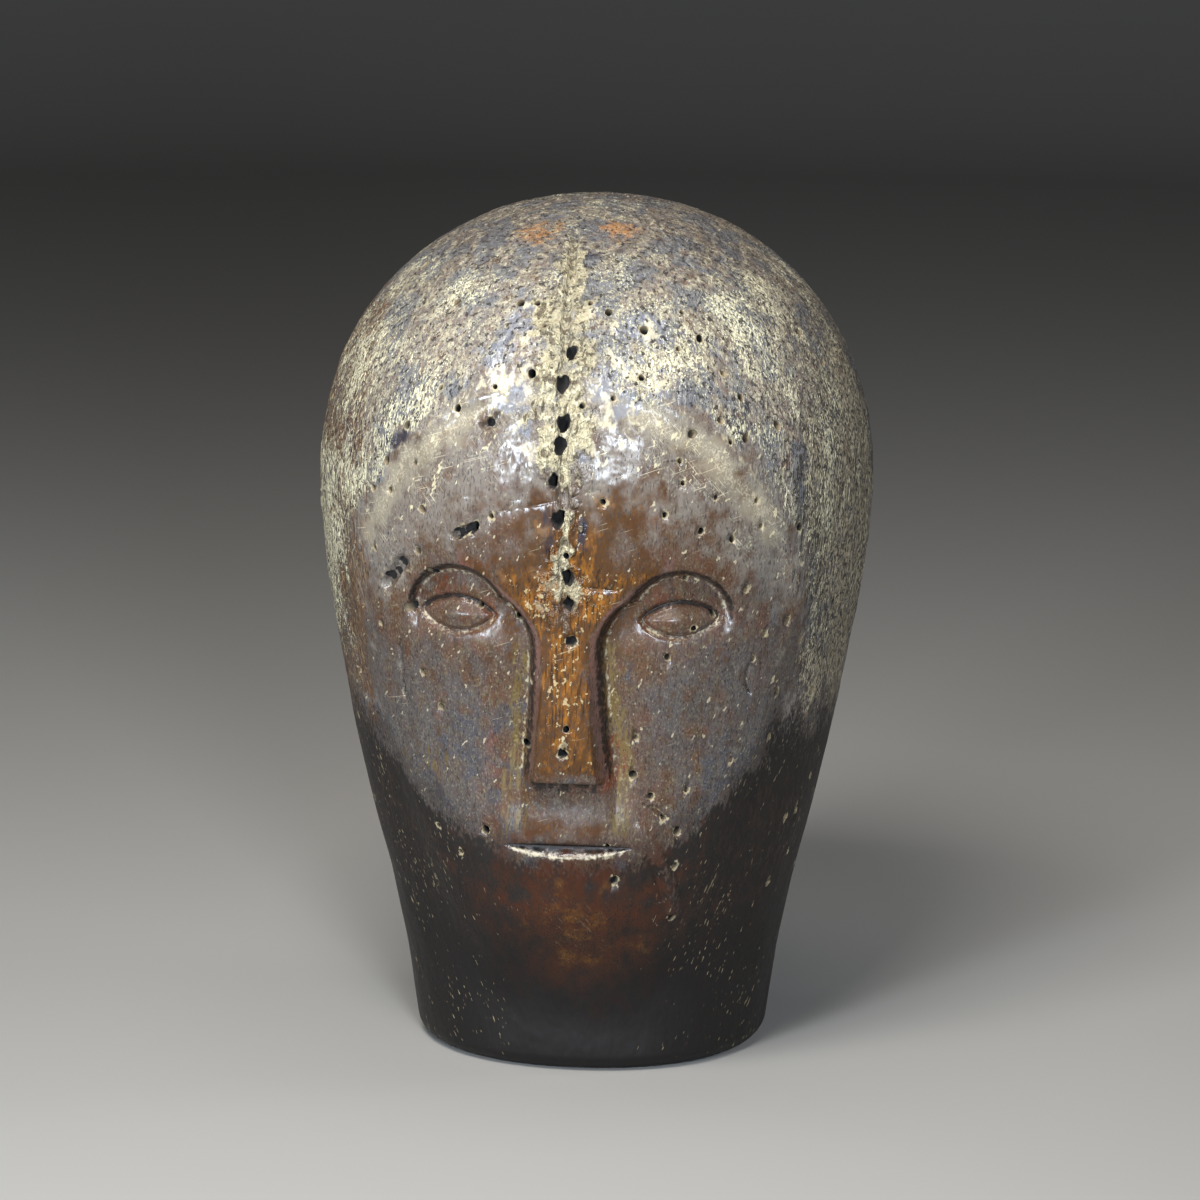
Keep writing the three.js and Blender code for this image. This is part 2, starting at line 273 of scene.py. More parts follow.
def socket_depth(side, height):
    """The eye sockets: a step just inside the brow arch, which runs on down the side of the nose as one
    line and fades into the cheek."""
    wall = CARVING_DEPTH * 0.6
    inside = np.maximum(0, in_brow_arch(side, height))
    arch = (smooth(0, wall, in_socket(side, height)) * np.exp(-inside / (EYE_UNIT * 0.62))
            * smooth(EYE_LINE - EYE_UNIT * 0.3, EYE_LINE + EYE_UNIT * 0.2, height))
    from_nose = side - nose_edge(height)
    beside = (smooth(0, wall, from_nose) * np.exp(-np.maximum(0, from_nose) / (EYE_UNIT * 0.42))
              * (1 - smooth(EYE_LINE, EYE_LINE + EYE_UNIT * 0.4, height))
              * smooth(NOSE_BASE - EYE_UNIT * 0.65, NOSE_BASE + EYE_UNIT * 0.35, height))
    return CARVING_DEPTH * (1 - (1 - arch) * (1 - beside))


def nose_height(side, height):
    """A flat-topped bar that rises towards its tip and ends in a straight cut."""
    rise = smooth(EYE_LINE + EYE_UNIT * 0.3, NOSE_BASE, height)
    edge = nose_edge(height)
    return (NOSE_RISE * rise * (1 - smooth(edge - 2 * MM, edge + 0.6 * MM, side))
            * smooth(NOSE_BASE - 1.5 * MM, NOSE_BASE, height))


def lower_face(side, height):
    """Lips, chin, the hollow under the nose and the throat that falls back below the jaw."""
    lips = 2 * MM * mound(side, 0, EYE_UNIT * 0.75) * mound(height, MOUTH, EYE_UNIT * 0.35)
    hollow = (1.8 * MM * mound(side, 0, NOSE_WING_HALF * 1.1)
              * mound(height, NOSE_BASE - EYE_UNIT * 0.22, EYE_UNIT * 0.17))
    chin = 2.4 * MM * mound(side, 0, EYE_UNIT * 0.7) * mound(height, (MOUTH + CHIN) / 2, EYE_UNIT * 0.4)
    jaw_line = CHIN + (EYE_LINE - CHIN) * (side / (2 * EYE_UNIT)) ** 2.2
    throat = 4 * MM * smooth(0, EYE_UNIT * 0.7, jaw_line - height) * smooth(0, EYE_UNIT * 1.5, height)
    return lips - hollow + chin - throat


def outside_cap(side, height):
    """How far a place lies outside the oval of the cap's edge, in metres; less than nought on the face."""
    return (np.hypot(side / CAP_HALF_WIDTH, (height - EYE_LINE) / CAP_HALF_HEIGHT) - 1) * CAP_HALF_WIDTH


def cap_height(side, height):
    """The cap of hair stands a little proud of the face and fades away over the skull."""
    outside = outside_cap(side, height)
    return (CAP_RISE * smooth(-2 * MM, 2 * MM, outside) * np.exp(-np.maximum(0, outside) / EYE_UNIT)
            * smooth(EYE_LINE - EYE_UNIT, EYE_LINE, height))


def from_eyelid(side, height):
    """Distance from the almond line round an eye, less than nought inside it. The almond's half height at a
    share u of its half length is its full half height times (1 - u^2) to the power 0.8."""
    u = np.clip((side - EYE_UNIT) / EYE_HALF_LENGTH, -0.999, 0.999)
    half = EYE_HALF_HEIGHT * (1 - u ** 2) ** 0.8
    slope = EYE_HALF_HEIGHT / EYE_HALF_LENGTH * 1.6 * u * (1 - u ** 2) ** -0.2
    beyond = np.maximum(0, np.abs(side - EYE_UNIT) - EYE_HALF_LENGTH)
    near = (np.abs(height - EYE_LINE) - half) / np.sqrt(1 + slope ** 2)
    return np.where(beyond > 0, np.hypot(beyond, height - EYE_LINE), near)


def eye_relief(side, height):
    """A knife line of V section round a slightly swollen eye."""
    off_line = from_eyelid(side, height)
    line = GROOVE_DEPTH * np.clip(1 - np.abs(off_line) / (GROOVE_WIDTH / 2), 0, 1)
    ball = 1.0 * MM * smooth(GROOVE_WIDTH / 2, 4.5 * MM, -off_line)
    return ball - line


def mouth_depth(side, height):
    """A slit of V section, steep above and gently open below, which closes to a point at both corners."""
    open_share = np.clip(1 - (side / MOUTH_HALF_LENGTH) ** 2, 0, 1)
    upper = MOUTH_GAPE * 0.35 * open_share + 0.01 * MM
    lower = MOUTH_GAPE * 0.65 * open_share + 0.01 * MM
    above = height - MOUTH
    share = np.where(above > 0, 1 - above / upper, 1 + above / lower)
    return MOUTH_DEPTH * np.sqrt(open_share) * np.clip(share, 0, 1)


def face_relief(x, height):
    """All the carving on the front, as a height above the block along -Y."""
    side = np.abs(x)
    carved = (nose_height(side, height) + lower_face(side, height) + cap_height(side, height)
              - socket_depth(side, height) + eye_relief(side, height) - mouth_depth(side, height))
    return carved * smooth(0.95, 0.7, side / np.maximum(side_reach(height), MM))


def stretches(*runs):
    """Places along a line: each run gives its start, its end and the gap that its places keep."""
    return np.concatenate([np.linspace(start, end, max(1, round((end - start) / gap)), endpoint=False)
                           for start, end, gap in runs])


def ring_angles():
    """Angles of the points on a ring, closest over the face."""
    face = 0.75  # radians to either side of the front
    quarter = np.pi / 2
    return stretches((-quarter, -face, 0.010), (-face, face, 0.0044), (face, quarter, 0.010),
                     (quarter, 3 * quarter, 0.018))


def ring_heights():
    """Heights of the rings: the rounded foot, the throat, the face and the dome, where they follow a sine
    so that they stay evenly spaced along the surface."""
    widest = BACK_SWELL[-1][0] * HEIGHT
    below = stretches((0.02 * MM, FOOT_ROUNDING, 0.5 * MM), (FOOT_ROUNDING, CHIN, 0.8 * MM),
                      (CHIN, widest, 0.38 * MM))
    turn = stretches((0, 0.9, 0.0055), (0.9, np.pi / 2 - 0.012, 0.009))
    return np.concatenate([below, widest + (HEIGHT - widest) * np.sin(turn)])


def outward_normals(grid):
    """Normals of a grid of rings, from the cross product of the steps along and up."""
    along = np.roll(grid, -1, axis=1) - np.roll(grid, 1, axis=1)
    up = np.gradient(grid, axis=0)
    normal = np.cross(along, up)
    return normal / np.linalg.norm(normal, axis=-1, keepdims=True)


def growth_wave(points, wander):
    """A wave from -1 to 1 for each growth ring: the sine of the distance from the heart of the trunk, with
    a wander added to it."""
    from_pith = np.hypot(points[..., 0] - PITH[0], points[..., 1] - PITH[1])
    return np.sin(2 * np.pi * (from_pith + wander) / RING_SPACING)


def split_offset(points):
    """Sideways distance from the drying split, which wanders a little as it climbs."""
    x, _, z = np.moveaxis(points, -1, 0)
    line = SPLIT_MIDDLE[0] + SPLIT_LEAN * (z - SPLIT_MIDDLE[1])
    wander = 0.7 * MM * noise(np.stack([z * 0, z * 0, z], axis=-1), 9 * MM, 11)
    return x - line - wander


def across_and_up(points):
    """X, the distance from the middle of the face, and the height of each point."""
    x, _, z = np.moveaxis(points, -1, 0)
    return x, np.abs(x), z


def on_front(points):
    """1 on the front of the head and 0 behind its sides."""
    return smooth(5 * MM, -10 * MM, points[..., 1])


def split_share(points):
    """1 along the run of the split, from near the crown to the root of the nose."""
    z = points[..., 2]
    return (smooth(EYE_LINE - EYE_UNIT * 0.35, BROW, z) * (1 - smooth(232 * MM, 237 * MM, z))
            * on_front(points))


def crumbled(points):
    """1 in the rotten band beside the split, which is widest over the forehead."""
    z = points[..., 2]
    half_width = (2.6 * MM + 11 * MM * smooth(166 * MM, 192 * MM, z) * (1 - smooth(212 * MM, 234 * MM, z))
                  + 8.5 * MM * mound(z, 143 * MM, 8 * MM))
    off = np.abs(split_offset(points)) + MM * clouds(points, 12, (4, 6), (2.5, 2.2), (1.2, 1.1))
    return (1 - smooth(half_width * 0.4, half_width, off)) * split_share(points)


def weathered(points):
    """1 where the skin of the wood has worn away: the skull above the cap's edge, round the sides and
    back."""
    _, side, z = across_and_up(points)
    front = on_front(points)
    outside = outside_cap(side, z) * front + CAP_HALF_WIDTH * (1 - front)
    patchy = outside + MM * clouds(points, 71, (4, 11), (2.5, 4), (1.5, 1.6))
    above_jaw = smooth(70 * MM, 125 * MM, z + 9 * MM * noise(points, 16 * MM, 22))
    return smooth(-2 * MM, 6 * MM, patchy) * above_jaw


def polished(points):
    """1 where hands kept the worn wood smooth: the upper forehead either side of the split."""
    x, _, z = np.moveaxis(points, -1, 0)
    broken = 1 + clouds(points, 66, (0.3, 7), (0.4, 2.5))
    return np.clip(1.5 * mound(x, 0, 33 * MM) * mound(z, 200 * MM, 24 * MM) * broken, 0, 1) * on_front(points)


def from_trail(points, trail):
    """Distance from a line through places, as the least of those from its straight runs."""
    nearest = np.full(points.shape[:-1], 1.0)
    for start, end in zip(trail[:-1], trail[1:]):
        run = end - start
        share = np.clip((points - start) @ run / (run @ run), 0, 1)
        nearest = np.minimum(nearest, np.linalg.norm(points - start - share[..., None] * run, axis=-1))
    return nearest


# Old hurts, where the photograph shows them: the trail in its pixels, as read off it, the width and the
# depth in millimetres. A depth below nought stands proud, as a healed scar does.
HURTS = {
    "temple gouge": ([(385, 583), (393, 573), (402, 561)], 4.8, 2.4),
    "brow gouge": ([(455, 535), (463, 530), (473, 527)], 2.8, 2.4),
    "corner gouge": ([(482, 425), (493, 424), (497, 414)], 2.2, 2.0),
    "left crack": ([(399, 646), (402, 668), (404, 696)], 1.3, 1.4),
    "right crack": ([(748, 668), (746, 684), (750, 694)], 1.4, 1.3),
    "scar": ([(640, 830), (655, 848), (664, 868), (672, 893), (673, 912)], 4.4, -1.0),
    "scar bed": ([(632, 836), (647, 857), (656, 877), (662, 900)], 2.0, 0.45),
    "cheek nick": ([(638, 801), (650, 808), (662, 817)], 1.4, 0.8),
    "long scratch": ([(500, 512), (548, 503), (600, 490)], 0.9, 0.3),
    "short scratch": ([(466, 497), (520, 500)], 0.8, 0.25),
    "brow tear": ([(582, 588), (618, 591)], 1.2, 0.5),
    "bridge tear": ([(538, 649), (576, 652)], 1.0, 0.4),
    "cheek scratch": ([(468, 700), (483, 684)], 1.0, 0.35),
}


def from_hurt(points, name):
    """Distance from the middle line of an old hurt, as a share of its half width, with ragged sides."""
    trail, width, _ = HURTS[name]
    return from_trail(points, seen_at(trail)) / (width / 2 * MM) * (1 + 0.35 * noise(points, 1.6 * MM, 51))


def hurt_depth(points):
    """How deep the old hurts go: each a trough with ragged sides, as deep as stated along its middle."""
    total = 0
    for name, (_, _, depth) in HURTS.items():
        total = total + depth * MM * (1 - smooth(0.35, 1.1, from_hurt(points, name)))
    return total


def torn(points):
    """1 in the deep hurts, which the layers colour dark."""
    deep = [1 - smooth(0.3, 0.9, from_hurt(points, name))
            for name, (_, _, depth) in HURTS.items() if depth > 0.5]
    return np.maximum.reduce(deep)


def torn_rim(points):
    """1 along the lips of the hurts, where the broken edge is pale."""
    rims = [mound(from_hurt(points, name), 1.15, 0.35)
            for name, (_, _, depth) in HURTS.items() if depth > 0]
    return np.maximum.reduce(rims)


def wear_relief(points):
    """What time and the knife did to the skin, as a height along the normal: broad unevenness everywhere,
    fissures along the grain and lumps where the skin has worn away, the crumbled split, and ripples of the
    growth rings where the crown cuts across them."""
    rough = weathered(points)
    broad = 0.35 * MM * noise(points, 34 * MM, 1) + 0.16 * MM * noise(points, 13 * MM, 2)
    facets = 0.07 * MM * noise(points, np.array([5, 5, 9]) * MM, 3)
    fissures = np.abs(noise(points, np.array([1.5, 1.5, 11]) * MM, 4))
    lumps = noise(points, np.array([3.2, 3.2, 5]) * MM, 5)
    worn = rough * (0.16 * MM * lumps - 0.22 * MM * (1 - smooth(0, 0.35, fissures)))
    off = np.abs(split_offset(points))
    band = crumbled(points)
    crumbs = band * (0.55 * MM * noise(points, 2.4 * MM, 6)
                     + 0.35 * MM * noise(points, 1.2 * MM, 7) - 0.45 * MM)
    pillows = polished(points) * (0.5 * MM * noise(points, 7.5 * MM, 13)
                                  + 0.12 * MM * noise(points, 3.6 * MM, 14))
    width = SPLIT_WIDTH / 2 * (1 + 0.5 * noise(points, 4 * MM, 8))
    channel = SPLIT_DEPTH * (1 - smooth(width * 0.3, width, off)) * split_share(points)
    ring = growth_wave(points, 1.2 * MM * noise(points, 12 * MM, 9))
    ripples = 0.07 * MM * ring * smooth(205 * MM, 230 * MM, points[..., 2])
    return broad + facets + worn + crumbs + pillows - channel + ripples - hurt_depth(points)


def closed_mesh(name, grid, low_pole, high_pole):
    """A mesh over rings of points, wrapped round and closed by a fan to a single point at each end."""
    rings, around = grid.shape[:2]
    points = np.concatenate([grid.reshape(-1, 3), [low_pole, high_pole]])
    index = np.arange(rings * around).reshape(rings, around)
    after = np.roll(index, -1, axis=1)
    quads = np.stack([index[:-1], after[:-1], after[1:], index[1:]], axis=-1).reshape(-1, 4)
    low_fan = np.stack([np.full(around, len(points) - 2), after[0], index[0]], axis=-1)
    high_fan = np.stack([np.full(around, len(points) - 1), index[-1], after[-1]], axis=-1)
    corners = np.concatenate([quads.ravel(), low_fan.ravel(), high_fan.ravel()])
    sizes = np.concatenate([np.full(len(quads), 4), np.full(2 * around, 3)])
    return filled_mesh(name, points, corners, sizes)


def filled_mesh(name, points, corners, sizes):
    """A Blender mesh from points, the corners of all faces in one row, and each face's number of corners."""
    mesh = bpy.data.meshes.new(name)
    mesh.vertices.add(len(points))
    mesh.vertices.foreach_set("co", points.astype(np.float32).ravel())
    mesh.loops.add(len(corners))
    mesh.loops.foreach_set("vertex_index", corners.astype(np.int32))
    mesh.polygons.add(len(sizes))
    mesh.polygons.foreach_set("loop_start", np.concatenate([[0], np.cumsum(sizes)[:-1]]).astype(np.int32))
    mesh.update(calc_edges=True)
    return mesh


def new_object(name, data):
    """Puts a mesh, a lamp or a camera into the scene, at the origin."""
    piece = bpy.data.objects.new(name, data)
    bpy.context.scene.collection.objects.link(piece)
    return piece


def modified(piece, kind, **settings):
    """Applies one modifier, as the mesh that the piece keeps."""
    modifier = piece.modifiers.new(kind, kind)
    for name, value in settings.items():
        setattr(modifier, name, value)
    bpy.context.view_layer.update()
    result = bpy.data.meshes.new_from_object(piece.evaluated_get(bpy.context.evaluated_depsgraph_get()))
    piece.modifiers.clear()
    piece.data = result


def carved_surface():
    """The whole carved and worn skin as a fine grid, with a flat sawn underside."""
    angle, height = np.meshgrid(ring_angles(), ring_heights())
    block = block_surface(angle, height)
    outward = outward_normals(block)
    carved = block.copy()
    carved[..., 1] -= np.where(np.cos(angle) > 0, face_relief(block[..., 0], block[..., 2]), 0)
    steady = smooth(0, 3 * MM, height)[..., None]  # the edge that it stands on stays as it is
    worn = carved + outward * wear_relief(carved)[..., None] * steady
    underside = [worn[0] * [share, share, 0] for share in (0.2, 0.4, 0.6, 0.8, 0.93)]
    return np.concatenate([np.stack(underside), worn])


def inward_at(places):
    """Straight into the block at places on it: down the slope of its nearest surface, by small steps each
    way."""
    step = 0.5 * MM

    def share_out(points):
        """How far out a place is, as a share of the block's reach at its height: 1 on the surface."""
        x, y, z = np.moveaxis(points, -1, 0)
        z = np.clip(z, 0, HEIGHT - 0.5 * MM)
        deep = np.where(y < 0, front_reach(z), back_reach(z))
        return np.hypot(x / side_reach(z), y / deep)

    slope = np.stack([share_out(places + step * axis) - share_out(places - step * axis)
                      for axis in np.eye(3)], axis=-1)
    return -slope / np.linalg.norm(slope, axis=-1, keepdims=True)


def hollow_cutters(name, places, radii, depths, rng, tall, ragged, slant):
    """One mesh of closed cutters, a round-ended tube for each place: rings across a direction that slants a
    little off straight in, from just outside the wood to the depth. Each point's radius is off by a random
    share, up to ragged, and the section is stretched upwards by tall."""
    around, rings = 10, 6
    count = len(places)
    inward = inward_at(places) + slant * rng.uniform(-1, 1, (count, 3))
    inward /= np.linalg.norm(inward, axis=-1, keepdims=True)
    level = np.cross(inward, [0, 0, 1])
    level /= np.linalg.norm(level, axis=-1, keepdims=True)
    rise = np.cross(level, inward)
    # Where each ring is, as a share of the depth, and how thick the tube is there
    along = np.array([-1.2, 0, 0.35, 0.7, 0.9, 1.0])
    thick = np.array([1.15, 1.0, 0.95, 0.9, 0.68, 0.25])
    turn = 2 * np.pi * np.arange(around) / around
    radius = radii[:, None, None] * thick[:, None] * (1 + ragged * rng.uniform(-1, 1, (count, rings, around)))
    out = np.where(along < 0, 2 * MM * along, 0) + np.where(along > 0, along, 0) * depths[:, None]
    middle = places[:, None] + inward[:, None] * out[..., None]
    ring = (middle[:, :, None] + level[:, None, None] * (radius * np.cos(turn))[..., None]
            + rise[:, None, None] * (radius * np.sin(turn) * tall)[..., None])
    ends = middle[:, [0, -1]]
    points = np.concatenate([ring.reshape(count, -1, 3), ends], axis=1)
    index = np.arange(rings * around).reshape(rings, around)
    after = np.roll(index, -1, axis=1)
    sides = np.concatenate([np.stack([index[:-1], index[1:], after[1:]], -1).reshape(-1, 3),
                            np.stack([index[:-1], after[1:], after[:-1]], -1).reshape(-1, 3)])
    first = np.stack([index[0], after[0], np.full(around, rings * around)], -1)
    last = np.stack([after[-1], index[-1], np.full(around, rings * around + 1)], -1)
    faces = np.concatenate([sides, first, last])
    every = faces[None] + (np.arange(count) * points.shape[1])[:, None, None]
    corner_counts = np.full(every.shape[0] * every.shape[1], 3)
    return new_object(name, filled_mesh(name, points.reshape(-1, 3), every.ravel(), corner_counts))


def on_carving(pixels):
    """Places on the carved front that the pixels show: where the ray meets the bare block, moved out or in
    by the carving's height there."""
    places = seen_at(pixels)
    places[:, 1] -= face_relief(places[:, 0], places[:, 2])
    return places


def spaced_apart(places, gap):
    """The places in order, less each that comes nearer than the gap to one kept before it."""
    kept = []
    for place in places:
        if all(np.linalg.norm(place - other) > gap for other in kept):
            kept.append(place)
    return np.array(kept)


# Beetle holes and rotted pits where the photograph shows them, in its pixels, as read off it
SPLIT_PITS = [(563, 381), (563, 421), (560, 444), (553, 481), (572, 350), (559, 520), (568, 579), (568, 606)]
LEFT_HOLES = [(422, 509), (491, 516), (476, 525), (418, 551), (432, 572), (374, 487), (390, 490), (375, 548),
              (479, 609), (518, 620), (530, 683), (423, 673), (441, 707), (526, 746), (381, 623), (409, 608),
              (521, 302), (537, 301), (544, 325), (457, 301), (532, 373), (496, 386), (458, 407), (408, 424),
              (387, 460), (415, 463), (441, 386), (486, 829), (439, 825), (461, 851), (568, 726), (566, 557)]
RIGHT_HOLES = [(609, 312), (591, 303), (644, 329), (682, 312), (700, 338), (679, 348), (642, 376), (614, 398),
               (583, 405), (724, 373), (742, 397), (722, 420), (731, 441), (747, 437), (692, 434), (778, 425),
               (680, 461), (603, 502), (665, 515), (716, 498), (683, 483), (732, 539), (761, 526), (757, 500),
               (800, 526), (701, 531), (684, 581), (711, 617), (693, 630), (667, 658), (746, 590), (764, 634),
               (787, 621), (800, 640), (753, 659), (776, 693), (768, 738), (635, 740), (731, 760), (608, 845),
               (615, 879), (632, 777), (664, 819), (677, 831), (686, 790), (650, 797), (675, 866), (671, 916)]
NOSE_PITS = [(564, 750), (571, 641), (464, 531), (490, 421)]
GOUGES = [(387, 578), (393, 571), (399, 564), (458, 533), (471, 528)]
HOLE_RADIUS = 0.95 * MM
HOLE_GAP = 3.6 * MM  # from middle to middle
SCATTERED_HOLES = 150
PIT_RADIUS = 1.6 * MM
GOUGE_RADIUS = 1.5 * MM
GOUGE_DEPTH = 3 * MM
KEPT_TRIANGLES = 160_000  # with the bores cut out of it the head then stays under 200,000


def scattered_places(count, rng):
    """Places at random round the sides and back, where the photograph doesn't look."""
    angle = rng.uniform(0.35 * np.pi, 1.65 * np.pi, count)
    height = HEIGHT * rng.uniform(0.2, 0.96, count)
    return block_surface(angle, height)


def add(tree, kind, inputs=None, **settings):
    """Adds one node with its settings. An input is a number, a colour or another node's output."""
    node = tree.nodes.new(kind)
    for name, value in settings.items():
        setattr(node, name, value)
    for name, value in (inputs or {}).items():
        if isinstance(value, bpy.types.NodeSocket):
            tree.links.new(value, node.inputs[name])
        else:
            node.inputs[name].default_value = value
    return node


def colour(hex_value):
    """An sRGB hex value such as #3b2a22 as a linear colour."""
    shares = np.array([int(hex_value[i:i + 2], 16) for i in (1, 3, 5)]) / 255
    linear = np.where(shares <= 0.04045, shares / 12.92, ((shares + 0.055) / 1.055) ** 2.4)
    return (*map(float, linear), 1.0)


def jaw_edge(side):
    """Height where the pale skin of the face gives way to the dark neck: lowest at the mouth, climbing to
    the sides."""
    return 62 * MM + 28 * MM * (np.minimum(side, 53 * MM) / (50 * MM)) ** 2.2


def mauve_flank(points):
    """1 on the side walls of the nose, where the film is pinkish."""
    _, side, z = across_and_up(points)
    return (mound(side - nose_edge(np.minimum(z, BROW)), 0.2 * MM, 1.5 * MM) * on_front(points)
            * smooth(NOSE_BASE - 2 * MM, NOSE_BASE + 2 * MM, z) * (1 - smooth(BROW, BROW + 8 * MM, z)))


def dark_neck(points):
    """1 below the jaw, where the wood is dark and painted shade stands for the neck turning down away from
    the light: a ragged edge along the cheeks, a soft one at the chin and on the sides."""
    x, side, z = across_and_up(points)
    behind = 1 - on_front(points)
    edge = jaw_edge(side) * (1 - behind) + 84 * MM * behind
    patchy = MM * clouds(points, 31, (4.2, 11), (2.4, 4), (1.4, 1.4))
    soft = (4.4 + 8 * mound(x, 0, 13 * MM) + 16 * smooth(47 * MM, 58 * MM, side) + 6 * behind) * MM
    wander = 1 + 2 * behind + 1.2 * smooth(47 * MM, 58 * MM, side)
    below = 1 - smooth(-soft, soft, z - edge + patchy * wander)
    return below * (1 - 0.5 * (1 - smooth(0.7, 1.3, from_hurt(points, "scar"))))


def jaw_shade(points):
    """1 down the lowest part of the cheeks, painted darker towards that edge as shade."""
    _, side, z = across_and_up(points)
    above = z - jaw_edge(side) + MM * clouds(points, 68, (4, 9), (2, 3))
    return smooth(20 * MM, 1 * MM, above) * on_front(points)


def deep_shade(points):
    """1 at the foot: painted shade, nearly black, that deepens towards the bottom."""
    x, side, z = across_and_up(points)
    return 1 - smooth(14 * MM, 62 * MM, z + 10 * MM * mound(x, 8 * MM, 22 * MM) - 0.35 * side
                      + 6 * MM * noise(points, 15 * MM, 33))


def roughened(points):
    """1 where the worn wood is rough to the touch: not where hands kept it smooth."""
    return weathered(points) * (1 - 0.85 * polished(points))


def fleck_cover(points):
    """How thickly pale flecks lie: only where the skin is worn, in clouds of several sizes, most of all on
    the upper forehead and the right side, and thinly on the crown."""
    x, _, z = np.moveaxis(points, -1, 0)
    thick = 1.02 + clouds(points, 23, (0.13, 24), (0.20, 10), (0.17, 4.5), (0.12, 1.8))
    upper = 0.16 * mound(z, 202 * MM, 24 * MM) * mound(x, -6 * MM, 36 * MM)
    crown = 0.24 * smooth(218 * MM, 231 * MM, z)
    low = 0.15 * (1 - smooth(90 * MM, 150 * MM, z))
    # Fewer pale flecks where the left side is painted darker as shade
    shaded_side = 0.12 * smooth(46 * MM, 66 * MM, x)
    smoothed = 0.25 * polished(points)
    return weathered(points) * np.clip(thick + upper - crown - low - shaded_side - smoothed, 0, 1.2) / 1.2


def scoured_and_painted_sheen(points):
    """1 on the upper forehead either side of the split, where handling wore the skin to pale wood. The
    pale there also stands in for the sheen of light on it, as a painted highlight.
    """
    x, _, z = np.moveaxis(points, -1, 0)
    broken = 1 + clouds(points, 26, (0.5, 8), (0.4, 3), (0.3, 1.3))
    return np.clip(mound(x, -2 * MM, 22 * MM) * mound(z, 192 * MM, 20 * MM) * broken, 0, 1) * on_front(points)


def cap_ridge(points):
    """1 along the worn edge of the cap over the forehead."""
    _, side, z = across_and_up(points)
    off = outside_cap(side, z) + MM * clouds(points, 28, (1.5, 9), (1.2, 3))
    return mound(off, -2 * MM, 4.2 * MM) * smooth(138 * MM, 166 * MM, z) * on_front(points)


def cap_line(points):
    """1 along the crisp outer rim of that edge, where the wood is rubbed palest."""
    _, side, z = across_and_up(points)
    off = outside_cap(side, z) + 0.8 * MM * noise(points, 6 * MM, 61)
    return mound(off, 2.2 * MM, 0.9 * MM) * smooth(150 * MM, 172 * MM, z) * on_front(points)


def filmed(points):
    """1 on the forehead, under a thin grey-olive film that thins out towards the brows and temples."""
    _, side, z = across_and_up(points)
    inside = smooth(12 * MM, 1 * MM, outside_cap(side, z))
    low_edge = 160 * MM - 24 * MM * smooth(30 * MM, 52 * MM, side)
    broken = 0.92 + clouds(points, 29, (0.3, 12), (0.3, 4), (0.2, 1.5))
    return inside * np.clip(smooth(-18 * MM, 22 * MM, z - low_edge) * broken, 0, 1) * on_front(points)


def amber(points):
    """1 where a clear varnish-like crust shows the warm wood: the nose, between the brows and the inner
    sockets."""
    x, side, z = across_and_up(points)
    broken = 0.85 + clouds(points, 34, (0.25, 7), (0.2, 2.5))
    nose = ((1 - smooth(-2.2 * MM, 0.4 * MM, side - nose_edge(np.minimum(z, BROW))))
            * smooth(NOSE_BASE + 0.5 * MM, NOSE_BASE + 4 * MM, z)
            * (1 - smooth(BROW - 4 * MM, BROW + 8 * MM, z)))
    brows = mound(x, 0, 21 * MM) * mound(z, BROW + 6 * MM, 15 * MM)
    above = 0.85 * mound(x, 15 * MM, 11 * MM) * mound(z, 166 * MM, 12 * MM)
    sockets = 0.75 * mound(side, NOSE_ROOT_HALF + 7 * MM, 3.5 * MM) * mound(z, EYE_LINE - 2 * MM, 10 * MM)
    lip = 0.8 * mound(x, 0, 15 * MM) * mound(z, MOUTH + 6 * MM, 4 * MM)
    return np.maximum.reduce([nose, brows, above, sockets, lip]) * broken * on_front(points)


def warm_chin(points):
    """1 on the chin, where red-brown wood shows through the dark."""
    x, _, z = np.moveaxis(points, -1, 0)
    broken = 0.9 + clouds(points, 62, (0.3, 9), (0.25, 3))
    return mound(x, 4 * MM, 40 * MM) * mound(z, 46 * MM, 28 * MM) * broken * on_front(points)


def stained(points):
    """1 in the blue-black stains either side of the split, on the temples and in a band across the crown."""
    x, side, z = across_and_up(points)
    beside = mound(np.abs(split_offset(points)), 5 * MM, 3.2 * MM) * mound(z, 160 * MM, 10 * MM)
    temples = mound(side, 47 * MM, 8 * MM) * mound(z, 188 * MM, 12 * MM)
    crown = mound(z, 229.5 * MM, 2.2 * MM) * mound(x, 0, 45 * MM)
    broken = 1 + clouds(points, 36, (0.4, 5), (0.3, 1.6))
    return np.maximum.reduce([beside, 0.8 * temples, 0.7 * crown]) * broken * on_front(points)


def soot_and_side_shade(points):
    """1 on the left side and the back, where soot lies between worn fibres. On the left side the dark is
    also painted shade, for the side turned away from the light.
    """
    x = points[..., 0]
    ragged = MM * clouds(points, 41, (6, 12), (4, 4), (2, 1.5))
    left = smooth(54 * MM, 66 * MM, x + ragged)
    behind = 0.55 + 0.35 * noise(points, np.array([14, 14, 30]) * MM, 42)
    return left * on_front(points) + behind * (1 - on_front(points))


def fibrous(points):
    """1 down the right side of the head, where bare fibres stand brown and tan."""
    ragged = MM * clouds(points, 65, (5, 14), (3, 5), (2, 1.5))
    return smooth(52 * MM, 62 * MM, -points[..., 0] + ragged)


def olive(points):
    """1 in the streaks beside the nose, where the crust is thin and dirty yellow."""
    x, side, z = across_and_up(points)
    beside = side - nose_edge(np.minimum(z, EYE_LINE))
    broken = 1 + 0.4 * noise(points, np.array([3, 3, 14]) * MM, 37)
    streaks = (mound(beside, 5 * MM, 5 * MM) * smooth(66 * MM, 76 * MM, z)
               * (1 - smooth(126 * MM, 140 * MM, z)))
    cheek = 0.7 * mound(x, -38 * MM, 12 * MM) * mound(z, 92 * MM, 14 * MM)
    return np.maximum(streaks, cheek) * broken * on_front(points)


